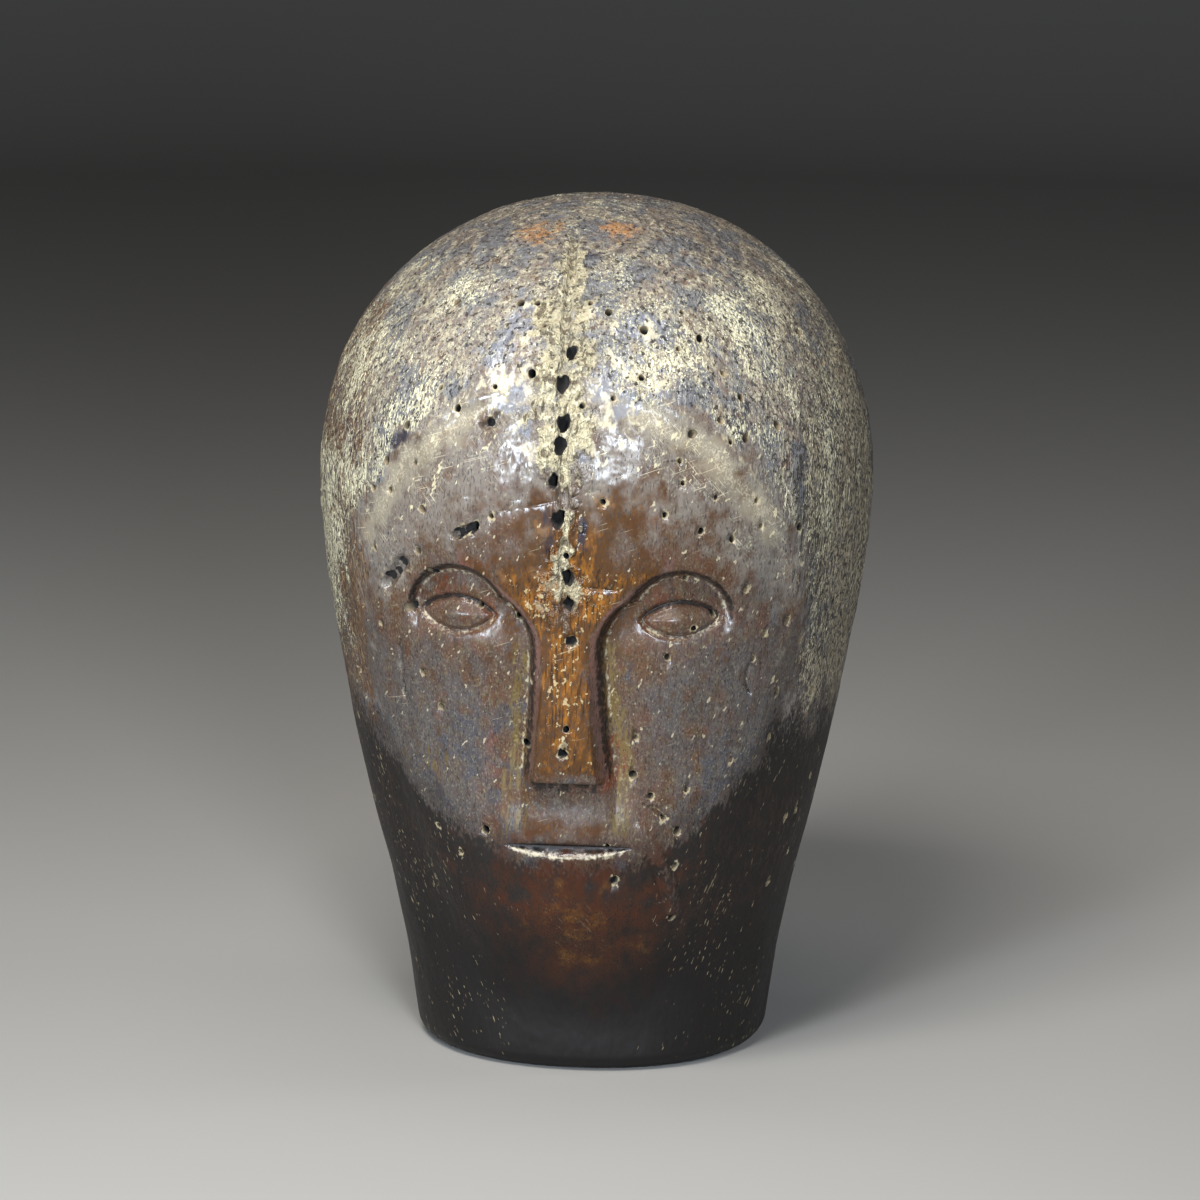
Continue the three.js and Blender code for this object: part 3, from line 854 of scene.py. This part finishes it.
def greyed(points):
    """1 on the cheeks and temples, under a grey satin film; less of it towards the nose and the brows."""
    _, side, z = across_and_up(points)
    cheeks = smooth(13 * MM, 27 * MM, side) * smooth(150 * MM, 120 * MM, z)
    temples = 0.8 * smooth(42 * MM, 52 * MM, side) * smooth(120 * MM, 150 * MM, z)
    lips = 0.6 * (1 - smooth(80 * MM, 88 * MM, z))
    return np.maximum.reduce([cheeks, temples, lips]) * (0.9 + clouds(points, 67, (0.3, 12), (0.25, 4)))


def bruised_and_edge_sheen(points):
    """1 in the soft blue-grey patches on the cheeks, and along their lower edge, where it is a painted sheen.
    """
    _, side, z = across_and_up(points)
    value = clouds(points, 38, (1, 13), (0.5, 5), (0.3, 2))
    patches = smooth(-0.1, 0.7, value) * (1 - smooth(150 * MM, 180 * MM, z))
    # Along the jaw line the blue-grey is a painted sheen of light
    edge = mound(z - jaw_edge(side), 7 * MM, 7 * MM) * smooth(20 * MM, 34 * MM, side)
    return np.maximum(patches, edge)


def reddened(points):
    """1 where the face is rubbed to a reddish brown: round the eyes and in soft patches."""
    _, side, z = across_and_up(points)
    sockets = mound(np.hypot(side - EYE_UNIT, z - EYE_LINE), 9 * MM, 9 * MM)
    patches = smooth(0.05, 0.8, clouds(points, 43, (0.9, 11), (0.4, 4)))
    return np.maximum(0.8 * sockets, patches)


def ringed(points):
    """1 in every other growth ring where the crown cuts across them."""
    wave = growth_wave(points, MM * clouds(points, 64, (1.6, 12), (0.5, 3)))
    return smooth(-0.2, 0.9, wave) * smooth(208 * MM, 228 * MM, points[..., 2])


def orange_rings(points):
    """1 in the two rings of warm wood near the crown."""
    x, y, z = np.moveaxis(points, -1, 0)
    broken = 1 + clouds(points, 63, (0.4, 6), (0.3, 2))
    rings = mound(np.abs(x + 2 * MM), 11 * MM, 7 * MM) * mound(y, -32 * MM, 8 * MM)
    return rings * smooth(200 * MM, 225 * MM, z) * broken


def socket_line(side, z):
    """Distance inside the line over the brow arch and down the side of the nose, without a false edge below
    the eye."""
    return np.where(side < EYE_UNIT * 0.9, in_socket(side, z), in_brow_arch(side, z))


def socket_line_share(side, z):
    """1 along the run of that line, which fades at the arch's outer end and at the tip of the nose."""
    outer = smooth(EYE_LINE - 6 * MM, EYE_LINE + 2 * MM, z)
    inner = smooth(NOSE_BASE - 3 * MM, NOSE_BASE + 2 * MM, z)
    return np.where(side < EYE_UNIT * 0.9, inner, outer)


def painted_edge_highlight(points):
    """1 on the edges that face the light, painted pale as a highlight: the lower lips of the eye lines and
    the mouth, just inside the brow arches and along the foot of the nose."""
    x, side, z = across_and_up(points)
    lid = mound(from_eyelid(side, z), 0.5 * MM, 0.7 * MM) * smooth(EYE_LINE + 1 * MM, EYE_LINE - 1.5 * MM, z)
    arch = mound(socket_line(side, z), 3 * MM, 0.8 * MM) * socket_line_share(side, z)
    open_share = np.clip(1 - (x / MOUTH_HALF_LENGTH) ** 2, 0, 1)
    lip = mound(z, MOUTH - MOUTH_GAPE * 0.62 * open_share, 0.7 * MM) * smooth(0, 0.3, open_share)
    return np.maximum.reduce([0.9 * lid, 0.75 * arch, lip]) * on_front(points)


def painted_crease_shade(points):
    """1 in the creases that are painted dark as shade: above the eye lines, under the brow arches and nose.
    """
    _, side, z = across_and_up(points)
    lid = mound(from_eyelid(side, z), 0, 0.9 * MM) * smooth(EYE_LINE - 1 * MM, EYE_LINE + 1.5 * MM, z)
    arch = mound(socket_line(side, z), 1.4 * MM, 1.3 * MM) * socket_line_share(side, z)
    under = (mound(z, NOSE_BASE - 2.5 * MM, 2.5 * MM)
             * (1 - smooth(NOSE_WING_HALF - MM, NOSE_WING_HALF + MM, side)))
    slit = smooth(0.03, 0.2, mouth_depth(side, z) / MOUTH_DEPTH) * smooth(-1.7 * MM, -0.9 * MM, z - MOUTH)
    return np.maximum.reduce([lid, 0.9 * arch, 0.8 * under, slit]) * on_front(points)


def rubbed(points, towards):
    """1 in the patches of slanting scratches low on one side, towards +1 for +X and -1 for -X."""
    x, _, z = np.moveaxis(points, -1, 0)
    broken = 0.8 + clouds(points, 44, (0.14, 12), (0.12, 4))
    return smooth(-12 * MM, 28 * MM, x * towards) * (1 - smooth(95 * MM, 130 * MM, z)) * broken


def rubbed_left(points):
    """1 in the scratches on the +X side."""
    return rubbed(points, 1)


def rubbed_right(points):
    """1 in the scratches on the -X side."""
    return rubbed(points, -1)


# All that a layer or a relief can keep to, each kept on the mesh under its function's name
MASKS = [weathered, roughened, jaw_shade, mauve_flank, fleck_cover, crumbled, scoured_and_painted_sheen, cap_ridge, cap_line,
         filmed, dark_neck, deep_shade, amber, warm_chin, stained, soot_and_side_shade, olive, greyed, bruised_and_edge_sheen, reddened,
         ringed, fibrous, polished, orange_rings, painted_edge_highlight, painted_crease_shade, torn, torn_rim, rubbed_left, rubbed_right]


def vertex_places(mesh):
    """The places of a mesh's points, one row each."""
    flat = np.empty(len(mesh.vertices) * 3, np.float32)
    mesh.vertices.foreach_get("co", flat)
    return flat.reshape(-1, 3).astype(float)


def write_mask(mesh, name, values):
    """Keeps one number from 0 to 1 for each point of a mesh, under a name that a material can read."""
    attribute = mesh.attributes.new(name, "FLOAT", "POINT")
    attribute.data.foreach_set("value", np.clip(values, 0, 1).astype(np.float32))


# Each pattern: the size of its grains across (X), in depth (Y) and along (Z), in millimetres; how many
# finer layers it has; and how far it is turned about Y, in degrees. Real pores and fibres are 0.1 to 0.2 mm
# wide, too fine to show in the render, so they are drawn two or three times as coarse.
PATTERNS = {
    "cloud": ((22, 22, 30), 2, 0),
    "patch": ((9, 9, 13), 3, 0),
    "blotch": ((4.5, 4.5, 7), 3, 4),
    "stain": ((6, 6, 6), 3, 0),
    "mottle": ((1.8, 1.8, 3.8), 3, 6),
    "streak": ((1.1, 1.1, 12), 2, 3),
    "fibre": ((0.4, 0.4, 4), 1, -2),
    "fleck": ((0.75, 0.75, 2.2), 3, 5),
    "speck": ((0.5, 0.5, 1.2), 1, 2),
    "crumb": ((1.3, 1.3, 1.6), 3, 0),
    "speckle": ((0.55, 0.55, 0.75), 1, 0),
    "vein": ((0.6, 0.6, 9), 1, 2),
    "pore": ((0.3, 0.3, 1.5), 0, 4),
    "scuff": ((1.4, 6, 3.0), 2, 24),
    "left_dash": ((0.4, 8, 2.6), 1, 22),
    "right_dash": ((0.4, 8, 2.6), 1, -22),
    "hair_scratch": ((0.25, 25, 9), 1, 72),
    "slant_scratch": ((0.25, 25, 6), 1, -38),
    "wave": ((11, 11, 15), 0, 0),
    "dimple": ((3, 3, 5), 1, 0),
    "lump": ((2.6, 2.6, 2.6), 1, 0),
}

# How far each pattern moves the skin, in millimetres from its lowest to its highest, and the mask it keeps to
RELIEFS = [
    ("wave", None, 0.9), ("dimple", None, 0.22),
    ("mottle", "roughened", 0.6), ("fleck", "roughened", 0.5), ("crumb", "crumbled", 2.0),
    ("crumb", "soot_and_side_shade", 0.5), ("lump", "scoured_and_painted_sheen", 0.35), ("dimple", "polished", 0.15), ("crumb", "torn", 1.0),
]

# The skin from the wood outwards. Each layer: the mask it keeps to (None is everywhere), the pattern that
# breaks it up, the value of the pattern at which it sets in and how softly, how much it hides, its colour,
# its roughness, and how far it stands above (or below) what is under it in millimetres
LAYERS = [
    (None, "cloud", 0.42, 0.16, 0.6, "#4b403b", 0.30, 0),
    (None, "patch", 0.46, 0.16, 0.6, "#4a2e20", 0.28, 0),
    ("reddened", "blotch", 0.38, 0.20, 0.85, "#602f1c", 0.26, 0),
    ("greyed", "blotch", 0.16, 0.38, 0.84, "#434141", 0.28, 0),
    # Blue-grey patches on the cheeks, and a painted sheen along their lower edge
    ("bruised_and_edge_sheen", "stain", 0.34, 0.26, 0.8, "#393b42", 0.24, 0),
    (None, "crumb", 0.50, 0.16, 0.4, "#57513a", 0.34, 0),
    (None, "stain", 0.50, 0.14, 0.4, "#2b2422", 0.30, 0),
    (None, "streak", 0.50, 0.16, 0.4, "#2e201a", 0.32, 0),
    (None, "speckle", 0.54, 0.14, 0.28, "#7c7263", 0.34, 0),
    ("filmed", "stain", 0.06, 0.40, 0.75, "#6c655d", 0.22, 0),
    ("filmed", "crumb", 0.46, 0.14, 0.55, "#857e6e", 0.28, 0),
    ("filmed", "stain", 0.49, 0.14, 0.6, "#4f3629", 0.24, 0),
    ("filmed", "speckle", 0.46, 0.14, 0.6, "#42352d", 0.30, 0),
    ("weathered", "blotch", 0.24, 0.22, 0.9, "#645d57", 0.36, 0),
    ("weathered", "streak", 0.50, 0.12, 0.6, "#634c39", 0.50, 0),
    ("weathered", "mottle", 0.46, 0.16, 0.7, "#938a74", 0.55, 0.08),
    ("weathered", "patch", 0.46, 0.10, 0.7, "#4c4f55", 0.30, 0),
    ("roughened", "speck", 0.50, 0.10, 0.85, "#2a211e", 0.60, 0),
    ("ringed", "mottle", 0.30, 0.22, 0.5, "#342f2e", 0.38, 0),
    # On the left side these dark streaks are partly soot and partly painted shade on the side away from the
    # light
    ("soot_and_side_shade", "streak", 0.32, 0.18, 0.8, "#27231f", 0.45, 0),
    ("soot_and_side_shade", "fleck", 0.49, 0.09, 0.85, "#9c9076", 0.65, 0.1),
    ("soot_and_side_shade", "speck", 0.50, 0.10, 0.75, "#958973", 0.65, 0),
    ("fibrous", "streak", 0.34, 0.22, 0.8, "#54381f", 0.50, 0),
    ("fibrous", "fibre", 0.48, 0.12, 0.7, "#1d1410", 0.55, 0),
    ("fibrous", "fleck", 0.53, 0.12, 0.8, "#8c7858", 0.65, 0.1),
    ("orange_rings", "mottle", 0.20, 0.34, 0.75, "#835628", 0.40, 0),
    ("olive", "streak", 0.34, 0.20, 0.8, "#574722", 0.50, 0),
    ("olive", "crumb", 0.52, 0.10, 0.5, "#776a47", 0.55, 0),
    ("amber", "blotch", 0.04, 0.36, 0.94, "#3f260d", 0.20, 0),
    ("amber", "stain", 0.36, 0.30, 0.75, "#613a0b", 0.16, 0),
    ("amber", "mottle", 0.36, 0.36, 0.6, "#8f5917", 0.16, 0),
    ("amber", "vein", 0.49, 0.14, 0.75, "#1c0f06", 0.22, 0),
    ("amber", "crumb", 0.57, 0.05, 0.65, "#a29069", 0.50, 0),
    ("mauve_flank", "mottle", 0.16, 0.30, 0.7, "#5a3f37", 0.30, 0),
    ("stained", "blotch", 0.30, 0.22, 0.85, "#1d202b", 0.24, 0),
    (None, "fibre", 0.56, 0.12, 0.35, "#211814", 0.45, 0),
    (None, "pore", 0.66, 0.06, 0.7, "#100b09", 0.70, 0),
    ("cap_ridge", "stain", 0.08, 0.50, 0.6, "#827966", 0.28, 0),
    ("cap_ridge", "speckle", 0.46, 0.14, 0.45, "#a0947d", 0.40, 0),
    ("cap_line", "mottle", 0.40, 0.20, 0.45, "#9c8f74", 0.45, 0),
    # Pale worn wood, partly a painted highlight for the sheen of light on the upper forehead
    ("scoured_and_painted_sheen", "blotch", 0.36, 0.28, 0.45, "#a39c92", 0.20, 0),
    ("polished", "stain", 0.44, 0.12, 0.7, "#62636b", 0.20, 0),
    ("polished", "blotch", 0.48, 0.12, 0.75, "#a69c84", 0.40, 0),
    ("fleck_cover", "fleck", 0.42, 0.15, 0.9, "#aba488", 0.70, 0.14),
    ("fleck_cover", "speck", 0.53, 0.08, 0.7, "#c8c1a4", 0.70, 0),
    ("crumbled", "blotch", 0.30, 0.26, 0.85, "#9a8f73", 0.60, 0),
    ("crumbled", "crumb", 0.46, 0.12, 0.7, "#bbb092", 0.65, 0.3),
    ("weathered", "crumb", 0.59, 0.04, 0.85, "#1a1411", 0.80, -0.5),
    ("crumbled", "mottle", 0.52, 0.10, 0.8, "#43372a", 0.90, -0.5),
    # Painted shade: dark brown round the rotted pits in the split
    ("pitted", "crumb", 0.28, 0.24, 0.8, "#33261b", 0.90, -0.4),
    ("polished", "mottle", 0.32, 0.20, 0.85, None, 0.18, 0),
    (None, "fleck", 0.70, 0.05, 0.45, "#9c9077", 0.50, 0),
    (None, "scuff", 0.67, 0.05, 0.6, "#a69a7e", 0.60, 0),
    (None, "hair_scratch", 0.76, 0.03, 0.5, "#a69a7e", 0.60, 0),
    ("filmed", "slant_scratch", 0.64, 0.05, 0.5, "#b0a58b", 0.55, 0),
    ("filmed", "hair_scratch", 0.67, 0.05, 0.5, "#b0a58b", 0.55, 0),
    ("filmed", "scuff", 0.60, 0.05, 0.65, "#aca182", 0.55, 0),
    # Painted shade: the lowest part of the cheeks darkened towards the jaw edge
    ("jaw_shade", "patch", 0.20, 0.40, 0.55, "#221c1a", 0.26, 0),
    # The dark neck: partly the wood's own dark tone, partly painted shade where the neck turns down from the
    # light
    ("dark_neck", "fleck", 0.08, 0.24, 0.96, "#100a06", 0.60, 0),
    ("warm_chin", "blotch", 0.10, 0.44, 0.8, "#3a1b0b", 0.20, 0),
    ("warm_chin", "stain", 0.46, 0.24, 0.6, "#5a3911", 0.22, 0),
    ("warm_chin", "slant_scratch", 0.67, 0.05, 0.4, "#7d6c52", 0.50, 0),
    ("warm_chin", "speckle", 0.64, 0.06, 0.35, "#6e5a3e", 0.40, 0),
    ("dark_neck", "streak", 0.52, 0.10, 0.5, "#2b190e", 0.40, 0),
    # Painted shade: nearly black at the foot, darker towards the bottom
    ("deep_shade", None, 0, 1, 0.88, "#070403", 0.55, 0),
    ("dark_neck", "pore", 0.62, 0.06, 0.7, "#050302", 0.70, 0),
    ("rubbed_left", "left_dash", 0.60, 0.05, 0.6, "#85765a", 0.60, 0),
    ("rubbed_right", "right_dash", 0.60, 0.05, 0.6, "#85765a", 0.60, 0),
    ("torn", None, 0, 1, 0.9, "#1a130d", 0.85, 0),
    ("torn_rim", "crumb", 0.46, 0.20, 0.6, "#8d8168", 0.60, 0),
    ("chipped", "crumb", 0.36, 0.16, 0.7, "#94876a", 0.65, 0),
    # Painted highlight: pale on the lower lips of the eye lines and the mouth, and just inside the brow
    # arches
    ("painted_edge_highlight", "crumb", 0.26, 0.30, 0.75, "#a59a82", 0.50, 0),
    # Painted shade: near black in the creases above the eye lines, under the brow arches and nose, and in the
    # mouth
    ("painted_crease_shade", "crumb", 0.20, 0.25, 0.92, "#120c09", 0.60, 0),
]
# Where Blender's Mix node keeps its result and its two inputs, for colours and for numbers
MIX_RESULT = {"RGBA": 2, "FLOAT": 0}
MIX_INPUTS = {"RGBA": (6, 7), "FLOAT": (2, 3)}
BARE_WOOD = "#47301f"
MASK_REACH = 0.5  # how much of a pattern's range a mask can hold back


def pattern_nodes(tree):
    """The value of each pattern: a noise on the piece's own coordinates, stretched to the size of its
    grains."""
    place = add(tree, "ShaderNodeTexCoord").outputs["Object"]
    pattern = {}
    for number, (name, (grains, layers, turn)) in enumerate(PATTERNS.items()):
        sizes = [size * MM for size in grains]
        shift = [0.37 * number, 0.21 * number, 0.11 * number]
        laid = add(tree, "ShaderNodeMapping", {"Vector": place, "Location": shift, "Scale": sizes,
                   "Rotation": (0, np.radians(turn), 0)}, vector_type="TEXTURE")
        pattern[name] = add(tree, "ShaderNodeTexNoise", {"Vector": laid.outputs[0], "Scale": 1.0,
                            "Detail": layers, "Roughness": 0.6}).outputs[0]
    return pattern


def layer_cover(tree, mask, pattern, start, softness, hiding):
    """How much a layer hides: nothing until its pattern reaches the start, and all that it can one softness
    further on. A mask, where there is one, is added to the pattern, which falls short without it."""
    value = mask if pattern is None else pattern
    if mask is not None and pattern is not None:
        value = add(tree, "ShaderNodeMath", {0: mask, 1: MASK_REACH, 2: pattern},
                    operation="MULTIPLY_ADD").outputs[0]
        start = start + MASK_REACH
    return add(tree, "ShaderNodeMapRange", {"Value": value, "From Min": start, "From Max": start + softness,
               "To Max": hiding}, interpolation_type="SMOOTHSTEP").outputs[0]


def patinated_hardwood():
    """Hardwood, carved, handled for generations and worn: close-grained brown wood under a thin satin skin
    that has gone grey-mauve on the face and clear amber on the nose, worn to pale fibres on the skull and
    dark on the neck, partly with painted shade. Painted shade also lies in the creases, and painted
    highlights on edges that face the light. The eye sees fine upright grain, soft patches of colour, and
    gloss that comes and goes with the wear."""
    material = bpy.data.materials.new("patinated_hardwood")
    material.use_nodes = True
    tree = material.node_tree
    shader = tree.nodes["Principled BSDF"]
    pattern = pattern_nodes(tree)
    mask = {each.__name__: add(tree, "ShaderNodeAttribute", attribute_name=each.__name__).outputs["Fac"]
            for each in (*MASKS, pitted, chipped)}
    look = {"colour": colour(BARE_WOOD), "roughness": 0.30, "height": 0.0}
    for moved_by, where, height in RELIEFS:
        share = pattern[moved_by]
        if where is not None:
            share = add(tree, "ShaderNodeMath", {0: share, 1: mask[where]}, operation="MULTIPLY").outputs[0]
        look["height"] = add(tree, "ShaderNodeMath", {0: share, 1: height * MM, 2: look["height"]},
                             operation="MULTIPLY_ADD").outputs[0]
    for where, broken_by, *spread, hex_value, roughness, height in LAYERS:
        cover = layer_cover(tree, mask.get(where), pattern.get(broken_by), *spread)
        new_values = ("colour", "RGBA", hex_value and colour(hex_value)), ("roughness", "FLOAT", roughness)
        for what, kind, new in new_values:
            if new is None:
                continue
            under, over = MIX_INPUTS[kind]
            look[what] = add(tree, "ShaderNodeMix", {0: cover, under: look[what], over: new},
                             data_type=kind).outputs[MIX_RESULT[kind]]
        if height:
            look["height"] = add(tree, "ShaderNodeMath", {0: cover, 1: height * MM, 2: look["height"]},
                                 operation="MULTIPLY_ADD").outputs[0]
    relief = add(tree, "ShaderNodeBump", {"Height": look["height"], "Distance": 1.0, "Strength": 1.0})
    tree.links.new(look["colour"], shader.inputs["Base Color"])
    tree.links.new(look["roughness"], shader.inputs["Roughness"])
    tree.links.new(relief.outputs[0], shader.inputs["Normal"])
    shader.inputs["IOR"].default_value = 1.5
    shader.inputs["Specular IOR Level"].default_value = 0.34  # dirt and wax reflect less than clean varnish
    return material


def bored_wood():
    """The inside of a beetle's bore: raw wood, chewed and full of dust, without any shine. It is pale at
    the mouth, where its edge has broken, and painted dark further in as shade."""
    material = bpy.data.materials.new("bored_wood")
    material.use_nodes = True
    tree = material.node_tree
    shader = tree.nodes["Principled BSDF"]
    deep = add(tree, "ShaderNodeAttribute", attribute_name="deep").outputs["Fac"]
    mouth, inside = MIX_INPUTS["RGBA"]
    # Pale at the mouth, and painted shade further in
    mixed = add(tree, "ShaderNodeMix", {0: deep, mouth: colour("#78684f"), inside: colour("#0f0a07")},
                data_type="RGBA")
    tree.links.new(mixed.outputs[MIX_RESULT["RGBA"]], shader.inputs["Base Color"])
    shader.inputs["Roughness"].default_value = 0.95
    return material


def from_nearest(points, places):
    """Distance from the nearest of the places."""
    nearest = np.full(len(points), 1.0)
    for place in places:
        nearest = np.minimum(nearest, np.linalg.norm(points - place, axis=-1))
    return nearest


def pitted(from_pits):
    """1 round the rotted pits in the split, painted dark brown as shade round the hollows."""
    return 1 - smooth(1.6 * MM, 3.6 * MM, from_pits)


def chipped(from_holes):
    """1 at the broken edge of a beetle's hole."""
    return 1 - smooth(1.2 * MM, 2.0 * MM, from_holes)


# The head: its skin, then the bores cut out of it, then what its material reads
rng = np.random.default_rng(7)
head = new_object("hardwood_head", closed_mesh("hardwood_head", carved_surface(), [0, 0, 0], [0, 0, HEIGHT]))
made = sum(len(face.vertices) - 2 for face in head.data.polygons)
modified(head, "DECIMATE", ratio=KEPT_TRIANGLES / made)
front_holes = on_carving(LEFT_HOLES + RIGHT_HOLES)
holes = spaced_apart(np.concatenate([front_holes, scattered_places(SCATTERED_HOLES, rng)]), HOLE_GAP)
pits = on_carving(SPLIT_PITS)
nose_pits = on_carving(NOSE_PITS)
cutters = [
    hollow_cutters("holes", holes, HOLE_RADIUS * rng.uniform(0.65, 1.25, len(holes)),
                   rng.uniform(4, 9, len(holes)) * MM, rng, tall=1.12, ragged=0.1, slant=0.35),
    hollow_cutters("pits", pits, PIT_RADIUS * rng.uniform(0.75, 1.15, len(pits)),
                   rng.uniform(4, 7, len(pits)) * MM, rng, tall=1.5, ragged=0.3, slant=0.2),
    *[hollow_cutters("gouge", on_carving([gouge]), np.array([GOUGE_RADIUS]), np.array([GOUGE_DEPTH]),
                     rng, tall=1.1, ragged=0.3, slant=0.3) for gouge in GOUGES],
    hollow_cutters("nose_pits", nose_pits, PIT_RADIUS * rng.uniform(0.8, 1, len(nose_pits)),
                   rng.uniform(3, 5, len(nose_pits)) * MM, rng, tall=1.0, ragged=0.25, slant=0.3),
]
outside_wood = patinated_hardwood()
inside_wood = bored_wood()
head.data.materials.append(outside_wood)
head.data.materials.append(inside_wood)
for cutter in cutters:
    cutter.data.materials.append(inside_wood)
    modified(head, "BOOLEAN", operation="DIFFERENCE", solver="MANIFOLD", object=cutter)
    bpy.data.objects.remove(cutter)
head.data.shade_smooth()
places = vertex_places(head.data)
for mask in MASKS:
    write_mask(head.data, mask.__name__, mask(places))
write_mask(head.data, "pitted", pitted(from_nearest(places, pits)))
write_mask(head.data, "chipped", np.maximum(chipped(from_nearest(places, holes)),
                                           chipped(from_nearest(places, nose_pits) - 0.8 * MM)))
mouths = np.concatenate([holes, pits, nose_pits])
# How far into a bore each point lies, which the bore's material paints darker as shade
write_mask(head.data, "deep", smooth(0.7 * MM, 1.9 * MM, from_nearest(places, mouths)))
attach(head, "root")
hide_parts(NODE)


def sweep():
    """The floor and backdrop in one: a flat disc that turns up through a quarter circle into a wall all
    round, as a photographer's paper sweep does, so that it looks the same from every side."""
    flat, bend, top = 1.9, 0.9, 3.2
    count = 96  # points round each ring
    turn = np.linspace(0, np.pi / 2, 17)
    reach_out = np.concatenate([[0.4, 1.0], flat + bend * np.sin(turn), [flat + bend]])
    rise = np.concatenate([[0, 0], bend * (1 - np.cos(turn)), [top]])
    around = 2 * np.pi * np.arange(count) / count
    grid = np.stack([np.outer(reach_out, np.cos(around)), np.outer(reach_out, np.sin(around)),
                     np.repeat(rise[:, None], count, axis=1)], axis=-1)
    index = np.arange(grid.shape[0] * count).reshape(-1, count)
    after = np.roll(index, -1, axis=1)
    quads = np.stack([index[:-1], index[1:], after[1:], after[:-1]], axis=-1).reshape(-1, 4)
    hub = np.stack([np.full(count, index.size), index[0], after[0]], axis=-1)
    points = np.concatenate([grid.reshape(-1, 3), [[0, 0, 0]]])
    corners = np.concatenate([quads.ravel(), hub.ravel()])
    corner_counts = np.repeat([4, 3], [len(quads), count])
    piece = new_object("sweep", filled_mesh("sweep", points, corners, corner_counts))
    piece.data.shade_smooth()
    paper = bpy.data.materials.new("matt_paper")
    paper.use_nodes = True
    shader = paper.node_tree.nodes["Principled BSDF"]
    shader.inputs["Base Color"].default_value = colour("#878480")
    shader.inputs["Roughness"].default_value = 0.9
    shader.inputs["Specular IOR Level"].default_value = 0.1
    piece.data.materials.append(paper)


def photograph_camera():
    """The camera that sees the head as the photograph does."""
    data = bpy.data.cameras.new("camera")
    data.lens = CAMERA_LENS
    data.sensor_width = CAMERA_SENSOR
    camera = new_object("camera", data)
    right, up, back = camera_axes()
    place = CAMERA_TARGET + CAMERA_DISTANCE * back
    rows = [(*row, at) for row, at in zip(np.stack([right, up, back], axis=1), place)]
    camera.matrix_world = Matrix([*rows, (0, 0, 0, 1)])
    bpy.context.scene.camera = camera


def softbox(name, place, size, power, tint):
    """A rectangular lamp that looks at the middle of the head."""
    data = bpy.data.lights.new(name, "AREA")
    data.shape = "RECTANGLE"
    data.size, data.size_y = size
    data.energy = power
    data.color = colour(tint)[:3]
    lamp = new_object(name, data)
    lamp.location = place
    lamp.visible_camera = False  # views from the side look past the lamps
    lamp.rotation_euler = Vector(np.array(place) - CAMERA_TARGET).to_track_quat("Z", "Y").to_euler()


# Each lamp: its place and its width and height in metres, its power in watts and its tint
LAMPS = {
    "left key": ((-0.42, -0.90, 0.27), (0.15, 0.15), 10.9, "#e2f0ff"),
    "right key": ((0.24, -1.00, 0.36), (0.15, 0.15), 10.9, "#e2f0ff"),
    "top key": ((-0.12, -0.44, 0.72), (0.34, 0.22), 9.8, "#fbfaf6"),
    "over": ((0.0, -0.02, 0.80), (0.34, 0.22), 1.2, "#fbfaf6"),
    "left": ((-0.85, 0.25, 0.50), (0.2, 0.5), 0.85, "#ffffff"),
    "right": ((0.85, 0.10, 0.50), (0.2, 0.5), 1.9, "#ffffff"),
}
sweep()
photograph_camera()
for name, lamp in LAMPS.items():
    softbox(name, *lamp)
world = bpy.data.worlds.new("world")
bpy.context.scene.world = world
world.use_nodes = True
faint_fill = world.node_tree.nodes["Background"].inputs
faint_fill["Color"].default_value = (0.8, 0.87, 1.0, 1)
faint_fill["Strength"].default_value = 0.05
bpy.context.scene.view_settings.view_transform = "Standard"
